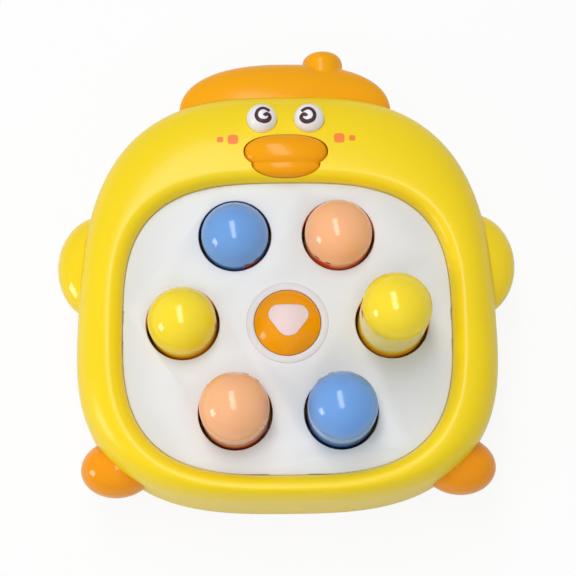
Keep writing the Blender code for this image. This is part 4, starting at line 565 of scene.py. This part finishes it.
def makeRearShell():
    def wall(inset, height):
        return lambda angle: (bodyEdge(angle, inset), height)

    top = deckTop - body["parting"] - rear["gap"]
    draft, bend = body["rearDraft"], body["rearRound"]
    stops = [wall(draft + bend, body["floor"]), wall(draft + body["wall"], bend), wall(body["wall"], top),
             wall(0.0, top)]
    for k in range(body["rearSteps"] + 1):
        lean = math.pi / 2 * k / body["rearSteps"]
        stops.append(wall(draft + bend * (1 - math.cos(lean)), bend * (1 - math.sin(lean))))
    shell = ringSkin("rearShell", stops)
    y, halfLong, halfWide = toyY + rear["bayY"], rear["bayHalfLong"], rear["bayHalfWide"]
    ledge, thick, buried, cut = rear["ledge"], rear["bayWall"], rear["buried"], rear["cutFrom"]
    # battery bay and the ear of its door
    carve(shell, block((-halfLong - thick, y - halfWide - thick, buried),
                       (halfLong + thick, y + halfWide + thick, rear["bayRoof"])), "UNION")
    ear = halfLong + ledge
    carve(shell, block((ear - buried, y - rear["earHalf"], buried),
                       (ear + rear["earLong"] + ledge, y + rear["earHalf"], rear["earRoof"])), "UNION")
    for x, along in rear["screws"]:
        carve(shell, rod(rear["boss"], buried, top, (x, toyY + along), 48), "UNION")
        carve(shell, rod(rear["wellRadius"], cut, rear["wellDepth"], (x, toyY + along), 48))
        carve(shell, rod(rear["pilot"], rear["pilotFrom"], top + rear["pilotFrom"], (x, toyY + along), 24))
    carve(shell, rod(rear["spindle"], buried, rear["spindleTop"], (0, toyY), 48), "UNION")
    carve(shell, block((-halfLong, y - halfWide, cut), (halfLong, y + halfWide, rear["bayDeep"])))
    doorSeat = rear["doorThick"] + rear["gap"]
    carve(shell, block((-halfLong - ledge, y - halfWide - ledge, cut), (ear, y + halfWide + ledge, doorSeat)))
    carve(shell, block((ear - buried, y - rear["earWide"] / 2, cut),
                       (ear + rear["earLong"], y + rear["earWide"] / 2, doorSeat)))
    carve(shell, rod(rear["pilot"], cut, rear["doorPilotTop"], (ear + rear["earLong"] / 2, y), 24))
    # speaker grille and switch slot
    for k in range(rear["slots"]):
        across = (k - (rear["slots"] - 1) / 2) * rear["pitch"]
        half = math.sqrt(rear["grilleRadius"] ** 2 - across ** 2) - rear["slotEnd"]
        x, along = rear["speaker"][0], toyY + rear["speaker"][1] + across
        slot = block((x - half, along - rear["slotWide"] / 2, cut),
                     (x + half, along + rear["slotWide"] / 2, rear["slotTop"]))
        runModifier(slot, "BEVEL", width=rear["slotRound"], segments=4, affect="EDGES", limit_method="ANGLE")
        carve(shell, slot)
    x, along = rear["switch"][0], toyY + rear["switch"][1]
    carve(shell, block((x - rear["switchNear"], along - rear["switchHalf"], cut),
                       (x + rear["switchFar"], along + rear["switchHalf"], rear["slotTop"])))
    paint(shell, finishes["body_yellow"])
    smooth(shell)
    done(shell, "shell", "body_yellow", "rear_shell")


makeRearShell()
print("rear shell done")

# eyes

spiral = {"path": [(0.0036, 0.0022), (0.0019, 0.0035), (-0.0006, 0.0039), (-0.0027, 0.0025), (-0.0037, 0.0),
                   (-0.0027, -0.0026), (0.0003, -0.0037), (0.0027, -0.0029), (0.0038, -0.0011), (0.0026, 0.0004),
                   (0.0011, -0.0003), (0.0007, -0.0009)],
          "stroke": 0.00102, "endShare": 0.03, "lift": 0.00004, "steps": 170, "above": 0.012, "stepShare": 0.001,
          "shiftLeft": (0.00085, -0.0006), "shiftRight": (-0.0008, -0.00095)}


def alongPath(points, share):
    # a smooth curve through the points
    run = share * (len(points) - 1)
    k = min(int(run), len(points) - 2)
    t = run - k
    a, b, c, d = (Vector(points[max(0, min(len(points) - 1, k + j))]) for j in (-1, 0, 1, 2))
    return 0.5 * (2 * b + (c - a) * t + (2 * a - 5 * b + 4 * c - d) * t ** 2 + (3 * b - a - 3 * c + d) * t ** 3)


def makeDome(name, foot, height, steps=96):
    # a ball cut off at its foot, so that its rim lies at height zero
    radius = (foot ** 2 + height ** 2) / (2 * height)
    dropSelection()
    bpy.ops.mesh.primitive_uv_sphere_add(segments=steps, ring_count=steps // 2, radius=radius,
                                         location=(0, 0, height - radius))
    dome = bpy.context.object
    dome.name = name
    settle(dome)
    openMesh(dome)
    bpy.ops.mesh.select_all(action="SELECT")
    bpy.ops.mesh.bisect(plane_co=(0, 0, 0), plane_no=(0, 0, 1), clear_inner=True)
    mesh = bmesh.from_edit_mesh(dome.data)
    for edge in mesh.edges:
        edge.select_set(edge.is_boundary)
    bmesh.update_edit_mesh(dome.data)
    return dome


def makeEye(name, side):
    dome = makeDome(name, eye["radius"], eye["height"], 64)
    bpy.ops.mesh.extrude_region_move(TRANSFORM_OT_translate={"value": (0, 0, -eye["skirt"])})
    bpy.ops.mesh.edge_face_add()
    bpy.ops.mesh.inset(thickness=eye["radius"] - eye["pin"])
    bpy.ops.mesh.extrude_region_move(TRANSFORM_OT_translate={"value": (0, 0, -eye["pinLong"])})
    closeMesh()
    runModifier(dome, "BEVEL", width=eye["edge"], segments=2, limit_method="ANGLE", angle_limit=math.radians(40))
    paint(dome, finishes["eye_white"], ink["spiral"])
    mark = makeSpiral(side, dome)
    joinPieces(dome, mark)
    smooth(dome, 50)
    dome.matrix_world = eyeStand(side)
    done(dome, "shell", "eye_white", "left_eye" if side < 0 else "right_eye")


def makeSpiral(side, dome):
    # a flat ribbon wound as a spiral, laid on the dome and given the ink's thickness
    shift = spiral["shiftLeft"] if side < 0 else spiral["shiftRight"]
    bearing = math.atan2(eye["y"], side * eye["across"])
    back = Matrix.Rotation(-bearing, 2)
    dropSelection()
    bpy.ops.mesh.primitive_grid_add(x_subdivisions=spiral["steps"], y_subdivisions=6, size=1, location=(0, 0, 0))
    ribbon = bpy.context.object
    settle(ribbon)
    mesh = openMesh(ribbon)
    for v in mesh.verts:
        share = v.co.x + 0.5
        near = 1 - min(1.0, min(share, 1 - share) / spiral["endShare"])
        taper = math.sqrt(max(0.0, 1 - near ** 2))
        ahead, behind = min(1.0, share + spiral["stepShare"]), max(0.0, share - spiral["stepShare"])
        course = (alongPath(spiral["path"], ahead) - alongPath(spiral["path"], behind)).normalized()
        sideways = Vector((-course.y, course.x)) * v.co.y * 2 * spiral["stroke"] * taper
        spot = alongPath(spiral["path"], share) + sideways
        flat = back @ Vector((shift[0] - side * spot.x, shift[1] + spot.y))
        v.co = (flat.x, flat.y, spiral["above"])
    bmesh.update_edit_mesh(ribbon.data)
    bpy.ops.mesh.select_all(action="SELECT")
    bpy.ops.mesh.remove_doubles(threshold=weld / 2)
    bpy.ops.object.mode_set(mode="OBJECT")
    layOn(ribbon, dome, spiral["lift"])
    paint(ribbon, ink["spiral"])
    return ribbon


def layOn(inkLayer, base, lift, thick=0.00006):
    # drops a flat print on the piece below it and gives it the ink's thickness
    runModifier(inkLayer, "SHRINKWRAP", target=base, wrap_method="PROJECT", use_project_z=True,
                use_positive_direction=False, use_negative_direction=True, offset=lift, wrap_mode="ABOVE_SURFACE")
    runModifier(inkLayer, "SOLIDIFY", thickness=thick, offset=0)


for side, name in ((-1, "leftEye"), (1, "rightEye")):
    makeEye(name, side)
print("eyes done")

# cheeks: small rounded squares printed on the bezel

cheek = {"spots": [(-0.0293, 0.1030, 0.0059), (-0.0364, 0.1030, 0.0035), (0.0298, 0.1035, 0.0059),
                   (0.0370, 0.1035, 0.0035)], "steps": 24, "power": 3.6, "above": 0.03, "lift": 0.00004}


def makeCheek(number, x, y, size):
    dropSelection()
    bpy.ops.mesh.primitive_grid_add(x_subdivisions=cheek["steps"], y_subdivisions=cheek["steps"], size=2,
                                    location=(0, 0, 0))
    spot = bpy.context.object
    spot.name = "cheekSpot%d" % number
    settle(spot)
    mesh = openMesh(spot)
    for v in mesh.verts:
        # the grid's square is rounded towards a squarish oval
        big = max(abs(v.co.x), abs(v.co.y))
        angle = math.atan2(v.co.y, v.co.x)
        edge = superReach(angle, 1, 1, 1, cheek["power"])
        reach = big * edge * size / 2
        v.co = (x + reach * math.cos(angle), toyY + y + reach * math.sin(angle), deckTop + cheek["above"])
    bmesh.update_edit_mesh(spot.data)
    bpy.ops.object.mode_set(mode="OBJECT")
    layOn(spot, bezel, cheek["lift"])
    paint(spot, ink["cheek"])
    smooth(spot, 60)
    done(spot, "shell", "trim_orange")


for number, (x, y, size) in enumerate(cheek["spots"]):
    makeCheek(number, x, y, size)
print("cheeks done")

# beak


def makeLobe(name, y, half, long, high, skirt):
    # a squashed ball over an upright skirt
    dropSelection()
    bpy.ops.mesh.primitive_uv_sphere_add(segments=96, ring_count=48, radius=1)
    lobe = bpy.context.object
    lobe.name = name
    openMesh(lobe)
    bpy.ops.mesh.select_all(action="SELECT")
    bpy.ops.mesh.bisect(plane_co=(0, 0, 0), plane_no=(0, 0, 1), clear_inner=True)
    mesh = bmesh.from_edit_mesh(lobe.data)
    for v in mesh.verts:
        # plumper than a ball: the top is flatter and its shoulders fuller
        flat = min(1.0, math.hypot(v.co.x, v.co.y))
        v.co.z = (1 - flat ** beak["swell"]) ** (1 / beak["swell"]) if v.co.z > hair else 0.0
    for edge in mesh.edges:
        edge.select_set(edge.is_boundary)
    bmesh.update_edit_mesh(lobe.data)
    bpy.ops.mesh.extrude_region_move(TRANSFORM_OT_translate={"value": (0, 0, -skirt / high)})
    bpy.ops.mesh.edge_face_add()
    closeMesh()
    squareUp(lobe, beak["power"])
    lobe.scale = (half, long, high)
    lobe.location = (0, toyY + y, deckTop + beak["waist"])
    settle(lobe)
    return lobe


def makeBeak():
    drop = beak["waist"] + beak["skirt"]
    upper = makeLobe("beakKey", beak["upperY"], beak["upperHalf"], beak["upperLong"], beak["upperHigh"], drop)
    lower = makeLobe("beakLower", beak["lowerY"], beak["lowerHalf"], beak["lowerLong"], beak["lowerHigh"],
                     drop + beak["lowerExtra"])
    carve(upper, lower, "UNION")
    stem = rod(beak["stemRadius"], deckTop - beak["stemDeep"], deckTop, (0, toyY + beak["upperY"]), 48)
    carve(upper, stem, "UNION")
    runModifier(upper, "REMESH", mode="VOXEL", voxel_size=beak["voxel"])
    runModifier(upper, "SMOOTH", factor=0.5, iterations=10)
    paint(upper, ink["beak"])
    smooth(upper, 180)
    done(upper, "beak", "trim_orange", "beak_key")


makeBeak()
print("beak done")

# hat, wings and feet

hat = {"half": 0.0612, "middle": 0.128, "top": 0.1586, "power": 2.4, "rim": 0.023, "dome": 0.016, "back": 0.050,
       "backRound": 0.004, "knobX": 0.0220, "knobHalf": 0.0117, "knobDepth": 0.025, "knobReach": 0.1656,
       "knobRound": 0.0068, "knobLong": 0.030, "voxel": 0.0006, "domeTurn": math.radians(87), "domeSteps": 24,
       "backSteps": 6}


def makeHat():
    def outline(inset, height, share=1.0):
        half, top = hat["half"] - inset, hat["top"] - hat["middle"] - inset
        return lambda angle: (superReach(angle, half, top, top, hat["power"]) * share, deckTop + height)

    stops = []
    for k in range(hat["backSteps"] + 1):
        lean, bend = math.pi / 2 * k / hat["backSteps"], hat["backRound"]
        stops.append(outline(bend * (1 - math.sin(lean)), -hat["back"] + bend * (1 - math.cos(lean))))
    for k in range(hat["domeSteps"] + 1):
        lean = hat["domeTurn"] * k / hat["domeSteps"]
        stops.append(outline(0, -hat["rim"] + hat["dome"] * math.sin(lean), math.cos(lean)))
    crown = ringSkin("hatCrown", stops, middle=(0, toyY + hat["middle"]), steps=160)
    dropSelection()
    place = (hat["knobX"], toyY + hat["knobReach"] - hat["knobLong"] / 2, deckTop - hat["knobDepth"])
    bpy.ops.mesh.primitive_cylinder_add(vertices=64, radius=hat["knobHalf"], depth=hat["knobLong"],
                                        rotation=(math.radians(90), 0, 0), location=place)
    knob = bpy.context.object
    settle(knob)
    runModifier(knob, "BEVEL", width=hat["knobRound"], segments=10, limit_method="ANGLE")
    carve(crown, knob, "UNION")
    runModifier(crown, "REMESH", mode="VOXEL", voxel_size=hat["voxel"])
    runModifier(crown, "SMOOTH", factor=0.5, iterations=6)
    carve(crown, bodyForm, keep=True)
    paint(crown, finishes["trim_orange"])
    smooth(crown, 40)
    done(crown, "shell", "trim_orange", "hat")


wing = {"x": 0.1045, "y": 0.0376, "half": (0.0243, 0.030, 0.016), "depth": 0.024}
foot = {"x": 0.093, "y": -0.0753, "half": (0.0207, 0.0162, 0.016), "depth": 0.025, "turn": math.radians(7)}


def makeSidePad(name, side, form, finish, slotName, node):
    dropSelection()
    bpy.ops.mesh.primitive_uv_sphere_add(segments=96, ring_count=64, radius=1)
    pad = bpy.context.object
    pad.name = name
    pad.scale = form["half"]
    pad.rotation_euler = (0, 0, -side * form.get("turn", 0.0))
    pad.location = (side * form["x"], toyY + form["y"], deckTop - form["depth"])
    settle(pad)
    carve(pad, bodyForm, keep=True)
    paint(pad, finish)
    smooth(pad, 40)
    done(pad, "shell", slotName, node)


makeHat()
for side, which in ((-1, "left"), (1, "right")):
    makeSidePad(which + "Wing", side, wing, ink["wing"], "body_yellow", which + "_wing")
    makeSidePad(which + "Foot", side, foot, ink["foot"], "trim_orange", which + "_foot")
bpy.data.objects.remove(bodyForm, do_unlink=True)
print("hat, wings and feet done")

# centre button and its lamp window

button = {"radius": 0.0181, "top": 0.0090, "edge": 0.0008, "skirt": 0.0085, "flange": 0.0016, "flangeHigh": 0.0015,
          "floor": 0.0030, "round": 0.0005, "pocketTop": 0.02}
icon = {"corners": [(-0.0050, 0.0033, 0.0055), (0.0061, 0.0033, 0.0055), (0.0005, -0.0020, 0.0068)], "gap": 0.00012,
        "lift": 0.00005}


def iconRod(name, grow, low, high):
    # a rounded triangle pointing to the player: the hull of three discs
    parts = [rod(reach + grow, low, high, (x, y), 96) for x, y, reach in icon["corners"]]
    hull = joinPieces(*parts)
    hull.name = name
    openMesh(hull, "VERT")
    bpy.ops.mesh.select_all(action="SELECT")
    bpy.ops.mesh.convex_hull()
    closeMesh()
    hull.location = (0, toyY, 0)
    settle(hull)
    return hull


def makeButton():
    cap = makeDome("centreButton", button["radius"], button["top"] - button["edge"], 128)
    low = -button["skirt"] - button["edge"]
    bpy.ops.mesh.extrude_region_move(TRANSFORM_OT_translate={"value": (0, 0, low + button["flangeHigh"])})
    grow = (button["radius"] + button["flange"]) / button["radius"]
    bpy.ops.mesh.extrude_region_move(TRANSFORM_OT_translate={"value": (0, 0, 0)})
    bpy.ops.transform.resize(value=(grow, grow, 1))
    bpy.ops.mesh.extrude_region_move(TRANSFORM_OT_translate={"value": (0, 0, -button["flangeHigh"])})
    bpy.ops.mesh.edge_face_add()
    closeMesh()
    mesh = openMesh(cap)
    chooseEdges(mesh, lambda co: abs(co.z) < hair and abs(math.hypot(co.x, co.y) - button["radius"]) < 2 * hair)
    bpy.ops.mesh.bevel(offset=button["round"], segments=4, affect="EDGES")
    closeMesh()
    cap.location = (0, toyY, deckTop + button["edge"])
    settle(cap)
    lamp = copyPiece(cap, "buttonLamp")
    floor, above = deckTop + button["floor"], deckTop + button["pocketTop"]
    carve(cap, iconRod("lampPocket", 0.0, floor, above))
    carve(lamp, iconRod("lampStamp", -icon["gap"], floor + icon["lift"], above), "INTERSECT")
    paint(cap, finishes["button_orange"])
    paint(lamp, finishes["icon_pink"])
    smooth(cap)
    smooth(lamp)
    done(cap, "button", "button_orange", "centre_button")
    done(lamp, "button", "icon_pink", "button_icon")


makeButton()
print("button done")

# moles

mole = {"radius": 0.0185, "dome": 0.0142, "wall": 0.0022, "skirt": 0.0432, "round": 0.0009}
face = {"spread": math.radians(10.5), "eyeUp": -0.0002, "eyeWide": 0.0016, "eyeTall": 0.0007,
        "billDown": -0.0046, "billWide": 0.0056, "billTall": 0.0026, "lift": 0.00004, "thick": 0.00008, "steps": 20}


def wrapMark(name, turn, up, halfWide, halfTall, finish, power=2.2):
    # a small oval laid on the mole's side, which faces -X here
    dropSelection()
    bpy.ops.mesh.primitive_grid_add(x_subdivisions=face["steps"], y_subdivisions=face["steps"], size=2,
                                    location=(0, 0, 0))
    mark = bpy.context.object
    mark.name = name
    settle(mark)
    mesh = openMesh(mark)
    lift = face["lift"]
    ball = (mole["radius"] ** 2 + mole["dome"] ** 2) / (2 * mole["dome"])
    for v in mesh.verts:
        big = max(abs(v.co.x), abs(v.co.y))
        angle = math.atan2(v.co.y, v.co.x)
        reach = big * superReach(angle, 1, 1, 1, power)
        across = reach * math.cos(angle) * halfWide
        height = up + reach * math.sin(angle) * halfTall
        radius = mole["radius"] + lift
        if height > 0:
            radius = math.sqrt((ball + lift) ** 2 - (height - mole["dome"] + ball) ** 2)
        around = math.pi + turn + across / mole["radius"]
        v.co = (radius * math.cos(around), radius * math.sin(around), height)
    bmesh.update_edit_mesh(mark.data)
    bpy.ops.object.mode_set(mode="OBJECT")
    runModifier(mark, "SOLIDIFY", thickness=face["thick"], offset=0)
    paint(mark, finish)
    return mark


def makeMole():
    cap = makeDome("moleCap", mole["radius"], mole["dome"], 96)
    bpy.ops.mesh.extrude_region_move(TRANSFORM_OT_translate={"value": (0, 0, -mole["skirt"])})
    closeMesh()
    mesh = openMesh(cap)
    chooseEdges(mesh, lambda co: abs(co.z) < hair)
    bpy.ops.mesh.bevel(offset=mole["round"], segments=5, affect="EDGES")
    closeMesh()
    runModifier(cap, "SOLIDIFY", thickness=mole["wall"], offset=-1)
    smooth(cap)
    return cap


master = makeMole()
for name, direction, rise, colour in moles:
    cap = copyPiece(master, "mole" + name.title().replace("_", ""))
    paint(cap, finishes[colour])
    eyes = [wrapMark("eyeMark", turn, face["eyeUp"], face["eyeWide"], face["eyeTall"], ink["dash"])
            for turn in (-face["spread"], face["spread"])]
    bill = wrapMark("billMark", 0, face["billDown"], face["billWide"], face["billTall"], ink["bill"], 2.0)
    joinPieces(cap, *eyes, bill)
    turn = Matrix.Rotation(math.radians(direction), 4, "Z")
    cap.matrix_world = Matrix.Translation(ringPlace(direction, rise)) @ turn
    done(cap, "cap_" + name, colour, "mole_" + name)
bpy.data.objects.remove(master, do_unlink=True)
print("moles done")

# floor, lamps and camera

studio = {"floorSize": 3.0, "floorDrop": 0.0005, "paper": (0.86, 0.86, 0.86), "whiteness": 0.88,
          "worldTone": (0.93, 0.97, 1.0), "worldStrength": 0.42}


def makeFloor():
    dropSelection()
    bpy.ops.mesh.primitive_plane_add(size=studio["floorSize"], location=(0, 0, -studio["floorDrop"]))
    floor = bpy.context.object
    floor.name = "studioFloor"
    paper, nodes, links, shader = newFinish("paleFloor", studio["paper"], 0.9)
    out = nodes["Material Output"]
    glow = nodes.new("ShaderNodeEmission")
    glow.inputs["Strength"].default_value = 1.0
    path = nodes.new("ShaderNodeLightPath")
    seen = nodes.new("ShaderNodeMath")
    seen.operation = "MULTIPLY"
    seen.inputs[1].default_value = studio["whiteness"]
    links.new(path.outputs["Is Camera Ray"], seen.inputs[0])
    mix = nodes.new("ShaderNodeMixShader")
    links.new(seen.outputs[0], mix.inputs["Fac"])
    links.new(shader.outputs[0], mix.inputs[1])
    links.new(glow.outputs[0], mix.inputs[2])
    links.new(mix.outputs[0], out.inputs["Surface"])
    paint(floor, paper)


lamps = [
    {"name": "topStrip", "place": (-0.13, 0.22, 1.12), "aim": (0.0, 0.0, 0.08), "size": (0.30, 1.20), "watts": 7.3,
     "along": (-0.17, 1.0, 0.0), "tone": (1.0, 0.99, 0.97)},
    {"name": "leftWindow", "place": (-1.12, -0.36, 0.38), "aim": (0.0, -0.03, 0.08), "size": (0.36, 0.32),
     "watts": 3.0, "along": (0.1, 0.3, 1.0), "tone": (1.0, 0.99, 0.96)},
    {"name": "frontSoft", "place": (0.0, -0.66, 0.98), "aim": (0.0, -0.03, 0.07), "size": (0.60, 1.10), "watts": 2.0,
     "along": (1.0, 0.0, 0.0), "tone": (1.0, 1.0, 1.0), "mirrored": False},
]


def makeLamp(lamp):
    dropSelection()
    bpy.ops.object.light_add(type="AREA", location=lamp["place"])
    light = bpy.context.object
    light.name = lamp["name"]
    light.data.shape = "RECTANGLE"
    light.data.size, light.data.size_y = lamp["size"]
    light.data.energy = lamp["watts"]
    light.data.color = lamp["tone"]
    # it faces its aim, with its long side as near as can be to its own direction
    facing = (Vector(lamp["place"]) - Vector(lamp["aim"])).normalized()
    across = Vector(lamp["along"]).cross(facing).normalized()
    turn = Matrix((across, facing.cross(across), facing)).transposed().to_4x4()
    light.matrix_world = Matrix.Translation(lamp["place"]) @ turn
    light.visible_glossy = lamp.get("mirrored", True)


def makeWorld():
    world = bpy.context.scene.world or bpy.data.worlds.new("studioWorld")
    bpy.context.scene.world = world
    world.use_nodes = True
    nodes, links = world.node_tree.nodes, world.node_tree.links
    sky = nodes["Background"]
    sky.inputs["Color"].default_value = (*studio["worldTone"], 1)
    sky.inputs["Strength"].default_value = studio["worldStrength"]
    white = nodes.new("ShaderNodeBackground")
    white.inputs["Strength"].default_value = 1.0
    path = nodes.new("ShaderNodeLightPath")
    mix = nodes.new("ShaderNodeMixShader")
    links.new(path.outputs["Is Camera Ray"], mix.inputs["Fac"])
    links.new(sky.outputs[0], mix.inputs[1])
    links.new(white.outputs[0], mix.inputs[2])
    links.new(mix.outputs[0], nodes["World Output"].inputs["Surface"])


view = {"tilt": math.radians(13.84), "swing": math.radians(-2.06), "roll": math.radians(-0.61),
        "distance": 0.8555, "target": (0.0005, -0.01455, 0.072), "lens": 36.0 * 1563.5 / 576.0}


def makeCamera():
    data = bpy.data.cameras.new("photoCamera")
    data.lens = view["lens"]
    data.sensor_width = 36.0
    camera = bpy.data.objects.new("photoCamera", data)
    bpy.context.scene.collection.objects.link(camera)
    tilt, swing, roll = view["tilt"], view["swing"], view["roll"]
    back = Vector((math.sin(tilt) * math.sin(swing), -math.sin(tilt) * math.cos(swing), math.cos(tilt)))
    right = (-back).cross(Vector((0, 1, 0))).normalized()
    up = right.cross(-back)
    turned = math.cos(roll) * right + math.sin(roll) * up
    upright = -math.sin(roll) * right + math.cos(roll) * up
    spin = Matrix((turned, upright, back)).transposed().to_4x4()
    camera.matrix_world = Matrix.Translation(Vector(view["target"]) + back * view["distance"]) @ spin
    bpy.context.scene.camera = camera


makeFloor()
for lamp in lamps:
    makeLamp(lamp)
makeWorld()
makeCamera()
bpy.context.scene.view_settings.view_transform = "Standard"
print("studio done")
